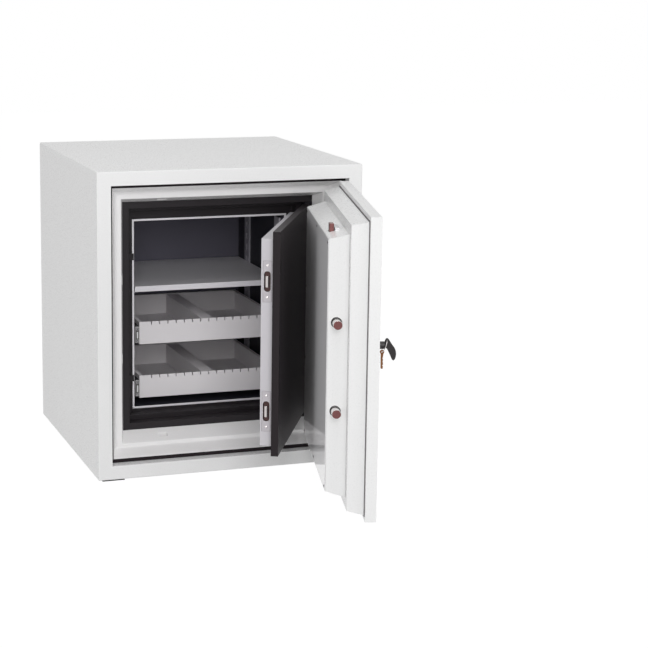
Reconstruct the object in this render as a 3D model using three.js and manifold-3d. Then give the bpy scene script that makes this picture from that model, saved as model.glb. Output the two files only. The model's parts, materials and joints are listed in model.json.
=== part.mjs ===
// A two-door fireproof safe for data media, standing open: millimetres, +Z up, front towards -Y.
// The origin is on the floor under the middle of the cabinet. Both doors are drawn shut, in the
// cabinet's own places, and are then swung open about their hinge lines by nested groups.
import * as THREE from 'three';
import { mergeVertices } from 'three/addons/utils/BufferGeometryUtils.js';
import Module from 'manifold-3d';

// Clearances
const GAP = 0.3; // between pieces that touch
const RUN = 1.5; // round a moving piece that nothing guides there

// Cabinet
const BODY_WIDTH = 664;
const BODY_DEPTH = 655;
const BODY_HEIGHT = 745;
const SKIN = 3; // steel sheet of the cabinet
const BORDER = 34; // width of the front border round the door
const BORDER_DEPTH = 29; // how far the border is folded back
const BASE_PANEL = { margin: 75, proud: 1 }; // pressed panel of the underside, between the feet
const FOOT = { height: 3, length: 55, width: 40, fromSide: 10, fromFront: 3 };

// Seal and white stepped frame, from the front plane backwards
const SEAL_WIDTH = 10;
const SEAL_THICKNESS = 2;
const STEP_A = { depth: 44, draft: 15 }; // outer step of the door opening
const LEDGE = 8; // flat between the two steps
const STEP_B = { depth: 42, draft: 22 }; // inner step of the door opening
const WIDE_LEDGE = 9; // how much wider the ledge is at the sides and the top than at the bottom

// Black inner frame
const FRAME_LAP = 9; // how far it reaches outwards behind the white frame
const LEAF_POCKET = { inset: 106, hingeInset: 90, depth: 35 };
const RIDGE = { inset: 117, depth: 36 };
const STRIKE = { reach: 6.5, thickness: 5, height: 16, behindFlange: 23 };

// Media chamber
const WALL = { side: 136.5, floor: 128, roof: 148, back: 93.4 }; // cabinet's outside to the chamber
const LINER = 1.5;
const TRIM = { width: 5, thickness: 3 };
const UPRIGHT = { width: 40, thickness: 3.8, endGap: 10.5, fromTrim: 25, fromBack: 66 };
const UPRIGHT_SLOT = { width: 9, height: 14, pitch: 30 };
const SHELF = { aboveFloor: 303.5, thickness: 14, sheet: 1.5, setBack: 7, behind: 17 };
const SHELF_TAB = { reach: 9, width: 16, height: 8 };

// Drawers
const DRAWER = { height: 57, sheet: 2, lip: 10, setBack: 5, behind: 21 };
const DRAWER_LEVELS = { upper: 156.5, lower: 19.5 }; // above the chamber's floor
const SLOT = { count: 15, pitch: 21.3, width: 2.4, depth: 8 };
const DIVIDER = { width: 32, sheet: 1.5 };
const RUNNER = { space: 15, height: 45, sheet: 1.2, lip: 2, aboveFloor: 2 };

// Outer door
const DOOR_GAP = 4;
const SLAB = 24.5;
const PLUG_A = { inset: 50, draft: 8, depth: 38.2 }; // insets are from the cabinet's outside
const PLUG_B = { inset: 81.6, draft: 11, depth: 43.4, sheet: 2 };
const COVER = { thickness: 1.2, margin: 1 };
const DOOR_GASKET = { width: 5, thickness: 2.5 };
const OUTER_HINGE = { outside: 8, forward: 14, openDeg: 75.6 };
const BARREL = { radius: 8, height: 90, pin: 3, leaf: 3, fixedReach: 22, movingReach: 48 };
const BARREL_FROM_END = { upper: 103, lower: 105 };

// Boltwork
const BOLT = { radius: 10, throw: 27, reach: 28, behindFront: 88 };
const BOLT_HEIGHTS = [277.5, 473.5];
const BOLT_BAR = { thickness: 8, width: 22, over: 18, fromFreeEdge: 112 };
const END_BOLT = { width: 22, thickness: 10, throw: 16, reach: 17, length: 150, behindFront: 92 };
const END_BOLT_FROM_FREE_EDGE = 134;
const BOLT_LUG = { width: 50, thickness: 10, height: 4.5, behindFront: 80 };

// Door furniture
const HANDLE = { x: 118, z: 400, hub: 17, neck: 9, lever: 104, bar: 16, stand: 22, bulk: 11 };
const SPINDLE = { radius: 6, cam: 24, camThickness: 8 };
const CRANK = { radius: 19, pin: 4, linkWidth: 32, linkThickness: 4 };
const LOCK = { z: 545, baseRadius: 54, faceRadius: 47, depth: 26, shoulder: 6 };
const LOCK_RING = { width: 2.2, proud: 1.6, gapFromDeg: -112, gapToDeg: -65 };
const LOCK_FACE = 1.4;
const FINGER_GUIDE = { width: 28, height: 26, wall: 3, proud: 3.5, corner: 8 };
const KEYHOLE = { fromFreeEdge: 110, z: 410 };
const ESCUTCHEON = { radius: 13, rose: 3, barrel: 10, depth: 8 };
const KEY = { shaft: 3.5, collar: 8.5, collarEnd: 27, bowOut: 4.5, bow: 6, eye: 1.6, insertion: 20 };
const KEY_RING = { wire: 0.9, topOut: 30.7, rise: 10.5, bottomOut: 20.5, drop: 15.2 };
const SPARE_KEY = { eye: 4.9, hole: 1.8, blade: 5, length: 38, thickness: 2 };

// Inner door
const LEAF = { freeInset: 109.6, floorInset: 112.7, roofInset: 110.5, thickness: 16.8, hingeGap: 3 };
const LEAF_HINGE = { inset: 95, lug: 4.4, pin: 2.2, lugHeight: 30, openDeg: 61.8 };
const PAN = { margin: 19, hingeMargin: 21, thickness: 29 };
const CATCH = {
  fromTop: 117.7, fromBottom: 100.6, height: 95, width: 20, thickness: 1.2, slotHeight: 48, slotWidth: 15.5,
};
const ROLLER = { radius: 4.6, height: 26, proud: 4, well: 14, carrierFrom: 2, carrierTo: 9 };

// Lines worked out from the sizes above
const FRONT = -BODY_DEPTH / 2;
const BODY_BOTTOM = FOOT.height;
const BODY_TOP = FOOT.height + BODY_HEIGHT;
const HALF = BODY_WIDTH / 2;
const SEAL_FACE = FRONT + BORDER_DEPTH - SEAL_THICKNESS;
const LEDGE_FACE = SEAL_FACE + STEP_A.depth;
const FLANGE_FACE = LEDGE_FACE + STEP_B.depth + GAP;
const RIDGE_FACE = FLANGE_FACE + LEAF_POCKET.depth;
const TRIM_FACE = RIDGE_FACE + RIDGE.depth;
const LINER_FRONT = TRIM_FACE + TRIM.thickness + GAP;
const CHAMBER_BACK = -FRONT - WALL.back;
const CHAMBER_FLOOR = BODY_BOTTOM + WALL.floor;
const CHAMBER_ROOF = BODY_TOP - WALL.roof;
const SLAB_BACK = FRONT + SLAB;
const PLUG_A_BACK = SLAB_BACK + GAP + PLUG_A.depth;
const PLUG_B_BACK = PLUG_A_BACK + GAP + PLUG_B.depth;
const OUTER_AXIS = new THREE.Vector2(HALF - BORDER + OUTER_HINGE.outside, FRONT - OUTER_HINGE.forward);
const INNER_AXIS = new THREE.Vector2(HALF - LEAF_HINGE.inset, FLANGE_FACE - GAP);
const CHAMBER_SIDE = HALF - WALL.side;
const SHELF_TOP = CHAMBER_FLOOR + SHELF.aboveFloor;
const LEAF_BOTTOM = BODY_BOTTOM + LEAF.floorInset;
const LEAF_TOP = BODY_TOP - LEAF.roofInset;
const CATCH_HEIGHTS = { upper: LEAF_TOP - CATCH.fromTop, lower: LEAF_BOTTOM + CATCH.fromBottom };
const UPRIGHT_FACE = CHAMBER_SIDE - GAP - UPRIGHT.thickness;

// Materials
const paint = (color, roughness, metalness = 0) =>
  new THREE.MeshStandardMaterial({ color, roughness, metalness });
const WHITE = () => paint(0xe9eaea, 0.45);
const MOULDED = () => paint(0xe0dfdd, 0.55);
const BLACK = () => paint(0x262326, 0.5);
const RUBBER = () => paint(0x1a1719, 0.8);
const CHARCOAL = () => paint(0x242329, 0.6);
const GREY = () => paint(0xbdbbbc, 0.5, 0.2);
const CHROME = () => paint(0xb9b4b2, 0.2, 1);
const ALUMINIUM = () => paint(0xc6c5cb, 0.35, 0.9);

// Solids
const wasm = await Module();
wasm.setup();

function solid(geometry) {
  const bare = geometry.clone();
  bare.deleteAttribute('normal');
  bare.deleteAttribute('uv');
  const merged = mergeVertices(bare, 1e-4);
  const triVerts = [];
  for (let i = 0; i < merged.index.count; i += 3) {
    const [a, b, c] = [0, 1, 2].map((k) => merged.index.getX(i + k));
    if (a !== b && b !== c && c !== a) triVerts.push(a, b, c);
  }
  return new wasm.Manifold(
    new wasm.Mesh({
      numProp: 3,
      vertProperties: new Float32Array(merged.attributes.position.array),
      triVerts: new Uint32Array(triVerts),
    }),
  );
}

function geometryOf(body) {
  const mesh = body.getMesh();
  const geometry = new THREE.BufferGeometry();
  geometry.setAttribute('position', new THREE.BufferAttribute(mesh.vertProperties, 3));
  geometry.setIndex(new THREE.BufferAttribute(mesh.triVerts, 1));
  geometry.computeVertexNormals();
  return geometry;
}

const cut = (body, ...tools) => tools.reduce((rest, tool) => rest.subtract(tool), body);
const join = (body, ...others) => others.reduce((whole, other) => whole.add(other), body);

// A block between two corners
function box(x0, x1, y0, y1, z0, z1) {
  const block = new THREE.BoxGeometry(x1 - x0, y1 - y0, z1 - z0);
  return solid(block.translate((x0 + x1) / 2, (y0 + y1) / 2, (z0 + z1) / 2));
}

// The rectangle at a distance inside the cabinet's outline, as [x0, x1, z0, z1]
const inside = (inset) => [-HALF + inset, HALF - inset, BODY_BOTTOM + inset, BODY_TOP - inset];

// A block that fills an upright rectangle from one depth to another
const block = ([x0, x1, z0, z1], y0, y1) => box(x0, x1, y0, y1, z0, z1);

const grown = ([x0, x1, z0, z1], by) => [x0 - by, x1 + by, z0 - by, z1 + by];

// A tapered block: one rectangle at the front, another at the back
function tapered([a0, a1, c0, c1], y0, [b0, b1, d0, d1], y1) {
  const corners = [
    [a0, y0, c0], [a1, y0, c0], [a1, y0, c1], [a0, y0, c1],
    [b0, y1, d0], [b1, y1, d0], [b1, y1, d1], [b0, y1, d1],
  ];
  const faces = [
    [0, 1, 2, 3], [7, 6, 5, 4], [0, 4, 5, 1], [3, 2, 6, 7], [0, 3, 7, 4], [1, 5, 6, 2],
  ];
  const geometry = new THREE.BufferGeometry();
  geometry.setAttribute('position', new THREE.Float32BufferAttribute(corners.flat(), 3));
  geometry.setIndex(faces.flatMap(([a, b, c, d]) => [a, b, c, a, c, d]));
  return solid(geometry);
}

// Cylinders along each axis, from one end to the other
function rod(radius, from, to, sides = 24) {
  return new THREE.CylinderGeometry(radius, radius, to - from, sides).translate(0, (from + to) / 2, 0);
}
const rodX = (radius, y, z, from, to, sides) =>
  solid(rod(radius, from, to, sides).rotateZ(-Math.PI / 2).translate(0, y, z));
const rodY = (radius, x, z, from, to, sides) => solid(rod(radius, from, to, sides).translate(x, 0, z));
const rodZ = (radius, x, y, from, to, sides) =>
  solid(rod(radius, from, to, sides).rotateX(Math.PI / 2).translate(x, y, 0));

// An outline drawn in x and z, carried from one depth to another
function plateY(shape, y0, y1, curveSegments = 12) {
  const plate = new THREE.ExtrudeGeometry(shape, { depth: y1 - y0, bevelEnabled: false, curveSegments });
  return solid(plate.rotateX(Math.PI / 2).translate(0, y1, 0));
}

// An outline drawn in depth and height, carried across from x0 to x1
function plateX(shape, x0, x1, curveSegments = 12) {
  const plate = new THREE.ExtrudeGeometry(shape, { depth: x1 - x0, bevelEnabled: false, curveSegments });
  return solid(plate.rotateZ(Math.PI / 2).rotateY(Math.PI / 2).translate(x0, 0, 0));
}

// The scene graph: the cabinet, and a group for each door, swung about its hinge line
const safe = new THREE.Group();
const swungAbout = (axis, openDeg) => {
  const hinge = new THREE.Group();
  hinge.position.set(axis.x, axis.y, 0);
  hinge.rotation.z = THREE.MathUtils.degToRad(openDeg);
  const shut = new THREE.Group();
  shut.position.set(-axis.x, -axis.y, 0);
  hinge.add(shut);
  safe.add(hinge);
  return shut;
};
const outerDoor = swungAbout(OUTER_AXIS, OUTER_HINGE.openDeg);
const innerDoor = swungAbout(INNER_AXIS, LEAF_HINGE.openDeg);

function piece(parent, name, body, material) {
  const mesh = new THREE.Mesh(geometryOf(body), material);
  mesh.name = name;
  parent.add(mesh);
  return mesh;
}

// The places along the door that the boltwork, the frame's pockets and the lock share
const slabEdge = -HALF + BORDER + DOOR_GAP;
const boltDepth = FRONT + BOLT.behindFront;
const endBoltX = slabEdge + END_BOLT_FROM_FREE_EDGE;
const endBoltDepth = FRONT + END_BOLT.behindFront;
const share = (y, from, to) => (y - from) / (to - from);
const plugInsetAt = (y) => PLUG_B.inset + PLUG_B.draft * share(y, PLUG_A_BACK + GAP, PLUG_B_BACK);
const boltFace = -HALF + plugInsetAt(boltDepth);
const endBoltFace = plugInsetAt(endBoltDepth);

addCabinet();
addChamber();
['upper', 'lower'].forEach(addDrawer);
addOuterDoor();
addBoltwork();
addElectronicLock();
addKeys();
addInnerDoor();
['upper', 'lower'].forEach(addOuterHinge);

// The cabinet skin with its folded border, the fire filling, the seal and the two frames
function addCabinet() {
  const opening = inside(BORDER);
  const shell = cut(
    block(inside(0), FRONT, -FRONT),
    block(inside(SKIN), FRONT + BORDER_DEPTH, -FRONT - SKIN),
    block(opening, FRONT - SKIN, FRONT + BORDER_DEPTH + SKIN),
  );
  const side = HALF - BASE_PANEL.margin;
  const end = -FRONT - BASE_PANEL.margin;
  const panel = box(-side, side, -end, end, BODY_BOTTOM - BASE_PANEL.proud, BODY_BOTTOM + BASE_PANEL.proud);
  piece(safe, 'outer_shell', join(shell, panel), WHITE());

  const seal = cut(
    block(grown(opening, -GAP), SEAL_FACE, FRONT + BORDER_DEPTH),
    block(grown(opening, GAP - SEAL_WIDTH), SEAL_FACE - SKIN, FRONT + BORDER_DEPTH + SKIN),
  );
  piece(safe, 'door_seal', seal, RUBBER());

  piece(safe, 'stepped_frame', steppedFrame(), MOULDED());
  piece(safe, 'inner_frame', innerFrame(), BLACK());

  const filling = cut(
    block(inside(SKIN + GAP), FRONT + BORDER_DEPTH + GAP, -FRONT - SKIN - GAP),
    block(inside(BORDER - GAP), FRONT, FLANGE_FACE),
    block(inside(frameOutset() - GAP), FLANGE_FACE - GAP, LINER_FRONT + SKIN),
    block(grown(linerOutside(), GAP), LINER_FRONT, CHAMBER_BACK + 2 * LINER),
  );
  piece(safe, 'fire_filling', filling, paint(0xb9b4a8, 0.9));

  const footFront = { front: FRONT + FOOT.fromFront, rear: -FRONT - FOOT.fromFront - FOOT.width };
  const footLeft = { left: -HALF + FOOT.fromSide, right: HALF - FOOT.fromSide - FOOT.length };
  for (const [end, y] of Object.entries(footFront)) {
    for (const [side, x] of Object.entries(footLeft)) {
      const foot = box(x, x + FOOT.length, y, y + FOOT.width, 0, FOOT.height - GAP);
      piece(safe, `foot_${end}_${side}`, foot, RUBBER());
    }
  }
}

// The white frame: a lip against the seal, two tapered steps, and a pocket for every bolt
function steppedFrame() {
  const lip = BORDER + SEAL_WIDTH;
  const ledge = lip + STEP_A.draft + LEDGE;
  const [x0, x1, z0, z1] = inside(ledge);
  const mouth = [x0 + WIDE_LEDGE, x1 - WIDE_LEDGE, z0, z1 - WIDE_LEDGE];
  const frame = cut(
    join(
      block(inside(BORDER + GAP), FRONT + BORDER_DEPTH + GAP, FLANGE_FACE - GAP),
      block(inside(lip), SEAL_FACE, FLANGE_FACE - GAP),
    ),
    tapered(inside(lip + GAP), SEAL_FACE - GAP, inside(lip + STEP_A.draft), LEDGE_FACE),
    tapered(mouth, LEDGE_FACE - GAP, inside(ledge + STEP_B.draft), FLANGE_FACE),
  );
  const clear = BOLT.radius + 2 * RUN;
  const pockets = BOLT_HEIGHTS.map((z) =>
    box(boltFace - BOLT.reach - RUN, 0, boltDepth - clear, boltDepth + clear, z - clear, z + clear),
  );
  const tip = endBoltFace - END_BOLT.reach - 2 * RUN;
  const half = END_BOLT.thickness / 2 + RUN;
  const endPocket = box(
    endBoltX - RUN, endBoltX + END_BOLT.width + RUN,
    endBoltDepth - half, endBoltDepth + half,
    BODY_BOTTOM + tip, BODY_TOP - tip,
  );
  return cut(frame, ...pockets, endPocket);
}

// How far inside the cabinet's outline the black frame starts, behind the white one
function frameOutset() {
  return BORDER + SEAL_WIDTH + STEP_A.draft + LEDGE + STEP_B.draft - FRAME_LAP;
}

// The black frame: a pocket for the inner door's leaf, a ridge behind it and the strikes
function innerFrame() {
  const [x0, , z0, z1] = inside(LEAF_POCKET.inset);
  const pocket = [x0, HALF - LEAF_POCKET.hingeInset, z0, z1];
  const frame = cut(
    block(inside(frameOutset()), FLANGE_FACE, LINER_FRONT),
    block(pocket, FLANGE_FACE - SKIN, RIDGE_FACE),
    block(inside(RIDGE.inset), FLANGE_FACE, TRIM_FACE),
    block(grown(trimOutside(), GAP), FLANGE_FACE, LINER_FRONT + SKIN),
  );
  const wall = -HALF + LEAF_POCKET.inset;
  const front = FLANGE_FACE + STRIKE.behindFlange;
  const strikes = Object.values(CATCH_HEIGHTS).map((z) =>
    box(wall - SKIN, wall + STRIKE.reach + RIDGE.inset - LEAF_POCKET.inset,
      front, front + STRIKE.thickness, z - STRIKE.height / 2, z + STRIKE.height / 2),
  );
  return join(frame, ...strikes);
}

function chamberInside() {
  return [-CHAMBER_SIDE, CHAMBER_SIDE, CHAMBER_FLOOR, CHAMBER_ROOF];
}

function linerOutside() {
  return grown(chamberInside(), LINER);
}

function trimOutside() {
  return grown(chamberInside(), TRIM.width);
}

// The media chamber: its bright edge, liner, uprights and shelf
function addChamber() {
  const trim = cut(
    block(trimOutside(), TRIM_FACE, TRIM_FACE + TRIM.thickness),
    block(chamberInside(), TRIM_FACE - SKIN, TRIM_FACE + 2 * SKIN),
  );
  piece(safe, 'chamber_trim', trim, ALUMINIUM());

  const liner = cut(
    block(linerOutside(), LINER_FRONT, CHAMBER_BACK),
    block(chamberInside(), LINER_FRONT - SKIN, CHAMBER_BACK + SKIN),
  );
  piece(safe, 'liner_sides', liner, CHARCOAL());
  piece(safe, 'liner_back', block(linerOutside(), CHAMBER_BACK + GAP, CHAMBER_BACK + GAP + LINER),
    paint(0x4b4b57, 0.5));

  for (const [side, sign] of [['left', -1], ['right', 1]]) {
    const rear = CHAMBER_BACK - UPRIGHT.fromBack - UPRIGHT.width;
    for (const [end, y] of [['front', LINER_FRONT + UPRIGHT.fromTrim], ['rear', rear]]) {
      piece(safe, `upright_${end}_${side}`, upright(sign, y), paint(0x3a393f, 0.45, 0.5));
    }
  }
  piece(safe, 'shelf', shelf(), ALUMINIUM());
}

// A slotted upright on a side wall, with the tab that carries the shelf
function upright(sign, y) {
  const across = (a, b) => [sign * a, sign * b].sort((p, q) => p - q);
  const middle = y + UPRIGHT.width / 2;
  const bottom = CHAMBER_FLOOR + UPRIGHT.endGap;
  const top = CHAMBER_ROOF - UPRIGHT.endGap;
  const strip = box(...across(UPRIGHT_FACE, CHAMBER_SIDE - GAP), y, y + UPRIGHT.width, bottom, top);
  const slots = [];
  for (let i = 0; i < Math.floor((top - bottom) / UPRIGHT_SLOT.pitch); i += 1) {
    const z = bottom + UPRIGHT_SLOT.pitch * (i + 1);
    slots.push(box(...across(UPRIGHT_FACE - SKIN, CHAMBER_SIDE + SKIN),
      middle - UPRIGHT_SLOT.width / 2, middle + UPRIGHT_SLOT.width / 2,
      z - UPRIGHT_SLOT.height / 2, z + UPRIGHT_SLOT.height / 2));
  }
  const seat = SHELF_TOP - SHELF.thickness - GAP;
  const tab = box(...across(UPRIGHT_FACE - SHELF_TAB.reach, UPRIGHT_FACE + 1),
    middle - SHELF_TAB.width / 2, middle + SHELF_TAB.width / 2, seat - SHELF_TAB.height, seat);
  return join(cut(strip, ...slots), tab);
}

// A folded steel shelf, open underneath
function shelf() {
  const side = UPRIGHT_FACE - GAP;
  const front = LINER_FRONT + SHELF.setBack;
  const back = CHAMBER_BACK - SHELF.behind;
  const bottom = SHELF_TOP - SHELF.thickness;
  return cut(
    box(-side, side, front, back, bottom, SHELF_TOP),
    box(-side + SHELF.sheet, side - SHELF.sheet, front + SHELF.sheet, back - SHELF.sheet,
      bottom - SKIN, SHELF_TOP - SHELF.sheet),
  );
}

// A drawer with its divider, on a pair of three-part telescopic runners
function addDrawer(level) {
  const floor = CHAMBER_FLOOR + DRAWER_LEVELS[level];
  const front = LINER_FRONT + DRAWER.setBack;
  const rear = CHAMBER_BACK - DRAWER.behind;
  const half = CHAMBER_SIDE - RUNNER.space;
  const top = floor + DRAWER.height;
  const tray = cut(
    box(-half, half, front, rear, floor, top),
    box(-half + DRAWER.sheet, half - DRAWER.sheet, front + DRAWER.sheet,
      rear - DRAWER.sheet, floor + DRAWER.sheet, top - DRAWER.sheet),
    box(-half + DRAWER.lip, half - DRAWER.lip, front + DRAWER.sheet,
      rear - DRAWER.lip, floor + DRAWER.height / 2, top + SKIN),
  );
  const slots = [];
  for (let i = 0; i < SLOT.count; i += 1) {
    const x = (i - (SLOT.count - 1) / 2) * SLOT.pitch;
    slots.push(box(x - SLOT.width / 2, x + SLOT.width / 2, front - SKIN, front + DRAWER.sheet + GAP,
      top - SLOT.depth, top + SKIN));
  }

  // The runner's parts nest: fixed rail outside, middle rail inside it, the drawer's bar innermost
  const railBottom = floor + RUNNER.aboveFloor;
  const railTop = railBottom + RUNNER.height;
  const start = front + DRAWER.sheet + RUN;
  const nest = RUNNER.lip + GAP;
  const outer = UPRIGHT_FACE - GAP;
  const mouth = half + GAP;
  const middleOuter = outer - RUNNER.sheet - GAP;
  const barOuter = middleOuter - RUNNER.sheet - GAP;
  const channel = (sign, x, z0, z1) => {
    const across = (a, b) => [sign * a, sign * b].sort((p, q) => p - q);
    return cut(
      box(...across(mouth, x), start, rear, z0, z1),
      box(...across(mouth - SKIN, x - RUNNER.sheet), start - SKIN, rear + SKIN,
        z0 + RUNNER.lip, z1 - RUNNER.lip),
    );
  };
  const bars = [-1, 1].map((sign) => {
    const [x0, x1] = [sign * (half - DRAWER.sheet), sign * barOuter].sort((p, q) => p - q);
    return box(x0, x1, start, rear, railBottom + 2 * nest, railTop - 2 * nest);
  });
  piece(safe, `drawer_${level}`, join(cut(tray, ...slots), ...bars), GREY());
  for (const [side, sign] of [['left', -1], ['right', 1]]) {
    piece(safe, `runner_fixed_${level}_${side}`, channel(sign, outer, railBottom, railTop),
      paint(0x2a2a2c, 0.4, 0.6));
    piece(safe, `runner_middle_${level}_${side}`,
      channel(sign, middleOuter, railBottom + nest, railTop - nest), paint(0xd0cfd0, 0.3, 0.8));
  }

  const leg = DIVIDER.width / 2;
  const back = rear - DRAWER.sheet - GAP;
  const divider = cut(
    box(-leg, leg, front + DRAWER.sheet + GAP, back, floor + DRAWER.sheet + GAP, top - DRAWER.sheet - GAP),
    box(-leg + DIVIDER.sheet, leg - DIVIDER.sheet, front, back + SKIN, floor,
      top - DRAWER.sheet - GAP - DIVIDER.sheet),
  );
  piece(safe, `divider_${level}`, divider, GREY());
}

// The flush outer door: slab, gasket and the two-step plug with its screwed cover
function addOuterDoor() {
  const spindleHole = rodY(SPINDLE.radius + GAP, HANDLE.x, HANDLE.z, FRONT - SKIN, PLUG_A_BACK + 2 * SKIN);
  const keyX = slabEdge + KEYHOLE.fromFreeEdge;
  const keyBore = rodY(KEY.shaft + GAP, keyX, KEYHOLE.z, FRONT - SKIN, FRONT + KEY.insertion + RUN);
  const slab = cut(block(inside(BORDER + DOOR_GAP), FRONT, SLAB_BACK), spindleHole, keyBore);
  piece(outerDoor, 'door_slab', slab, WHITE());

  const gasket = cut(
    block(inside(PLUG_A.inset - DOOR_GASKET.width), SLAB_BACK + GAP, SLAB_BACK + DOOR_GASKET.thickness),
    block(inside(PLUG_A.inset - GAP), SLAB_BACK, SLAB_BACK + DOOR_GASKET.thickness + SKIN),
  );
  piece(outerDoor, 'door_gasket', gasket, RUBBER());

  const plugBack = inside(PLUG_A.inset + PLUG_A.draft);
  const plug = tapered(inside(PLUG_A.inset), SLAB_BACK + GAP, plugBack, PLUG_A_BACK);
  piece(outerDoor, 'plug_outer', cut(plug, spindleHole), WHITE());
  piece(outerDoor, 'plug_inner', plugInner(spindleHole), WHITE());

  const cover = block(inside(PLUG_B.inset + PLUG_B.draft + COVER.margin), PLUG_B_BACK + GAP,
    PLUG_B_BACK + GAP + COVER.thickness);
  piece(outerDoor, 'plug_cover', cover, paint(0xa09c9e, 0.15, 0.3));
}

// The hollow inner step, with holes for the bolts and a lug beside the top bolt
function plugInner(spindleHole) {
  const front = PLUG_A_BACK + GAP;
  const hollow = PLUG_B.inset + PLUG_B.sheet;
  const case_ = cut(
    tapered(inside(PLUG_B.inset), front, inside(PLUG_B.inset + PLUG_B.draft), PLUG_B_BACK),
    tapered(inside(hollow), front + PLUG_B.sheet, inside(hollow + PLUG_B.draft), PLUG_B_BACK + SKIN),
  );
  const top = BODY_TOP - plugInsetAt(FRONT + BOLT_LUG.behindFront);
  const lugFront = FRONT + BOLT_LUG.behindFront - BOLT_LUG.thickness / 2;
  const lug = box(endBoltX, endBoltX + BOLT_LUG.width, lugFront, lugFront + BOLT_LUG.thickness,
    top - PLUG_B.sheet, top + BOLT_LUG.height);
  const boltHoles = BOLT_HEIGHTS.map((z) =>
    rodX(BOLT.radius + GAP, boltDepth, z, boltFace - BOLT.reach, boltFace + BOLT.reach),
  );
  const half = END_BOLT.thickness / 2 + GAP;
  const slots = box(endBoltX - GAP, endBoltX + END_BOLT.width + GAP, endBoltDepth - half,
    endBoltDepth + half, BODY_BOTTOM, BODY_TOP);
  return cut(join(case_, lug), spindleHole, ...boltHoles, slots);
}

// The sliding bolt bar with its two round bolts, the top and bottom bolts, and the lever
function addBoltwork() {
  const barX = slabEdge + BOLT_BAR.fromFreeEdge;
  const [low, high] = BOLT_HEIGHTS;
  const bar = box(barX, barX + BOLT_BAR.thickness, boltDepth - BOLT_BAR.width / 2,
    boltDepth + BOLT_BAR.width / 2 - 2 * RUN, low - BOLT_BAR.over, high + BOLT_BAR.over);
  const bolts = BOLT_HEIGHTS.map((z) => rodX(BOLT.radius, boltDepth, z, boltFace - BOLT.reach, barX + 1));
  const camFront = PLUG_A_BACK + GAP + PLUG_B.sheet + GAP;
  const camBack = camFront + SPINDLE.camThickness;
  const pinX = HANDLE.x - CRANK.radius * Math.SQRT1_2;
  const pinZ = HANDLE.z + CRANK.radius * Math.SQRT1_2;
  const slack = CRANK.pin + RUN;
  const link = cut(
    box(barX, pinX + CRANK.linkWidth / 2, camBack + GAP, camBack + GAP + CRANK.linkThickness,
      HANDLE.z, HANDLE.z + CRANK.linkWidth),
    box(pinX - slack, pinX + slack, camBack, camBack + CRANK.linkWidth,
      pinZ - slack, HANDLE.z + CRANK.radius + slack),
  );
  piece(outerDoor, 'bolt_bar', join(bar, ...bolts, link), CHROME());

  const across = [endBoltX, endBoltX + END_BOLT.width];
  const through = [endBoltDepth - END_BOLT.thickness / 2, endBoltDepth + END_BOLT.thickness / 2];
  const topTip = BODY_TOP - endBoltFace + END_BOLT.reach;
  const bottomTip = BODY_BOTTOM + endBoltFace - END_BOLT.reach;
  const endBolt = (from) => box(...across, ...through, from, from + END_BOLT.length);
  piece(outerDoor, 'bolt_top', endBolt(topTip - END_BOLT.length), CHROME());
  piece(outerDoor, 'bolt_bottom', endBolt(bottomTip), CHROME());

  const face = FRONT - GAP;
  const lever = new THREE.Shape();
  const end = HANDLE.x - HANDLE.lever;
  const grip = HANDLE.bar / 2;
  lever.moveTo(HANDLE.x, HANDLE.z - grip);
  lever.absarc(HANDLE.x, HANDLE.z, grip, -Math.PI / 2, Math.PI / 2, false);
  lever.absarc(end + grip, HANDLE.z, grip, Math.PI / 2, (3 * Math.PI) / 2, false);
  const handle = join(
    rodY(HANDLE.hub, HANDLE.x, HANDLE.z, face - HANDLE.neck, face, 32),
    rodY(HANDLE.bar / 2 - 1, HANDLE.x, HANDLE.z, face - HANDLE.stand, face, 24),
    plateY(lever, face - HANDLE.stand - HANDLE.bulk + RUN, face - HANDLE.stand + RUN),
    rodY(SPINDLE.radius, HANDLE.x, HANDLE.z, face - 1, camFront + 1),
    rodY(SPINDLE.cam, HANDLE.x, HANDLE.z, camFront, camBack, 32),
    rodY(CRANK.pin, pinX, pinZ, camBack - 1, camBack + CRANK.linkThickness + GAP, 16),
  );
  piece(outerDoor, 'lever_handle', handle, paint(0xb9b8ba, 0.25, 0.9));
}

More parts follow.
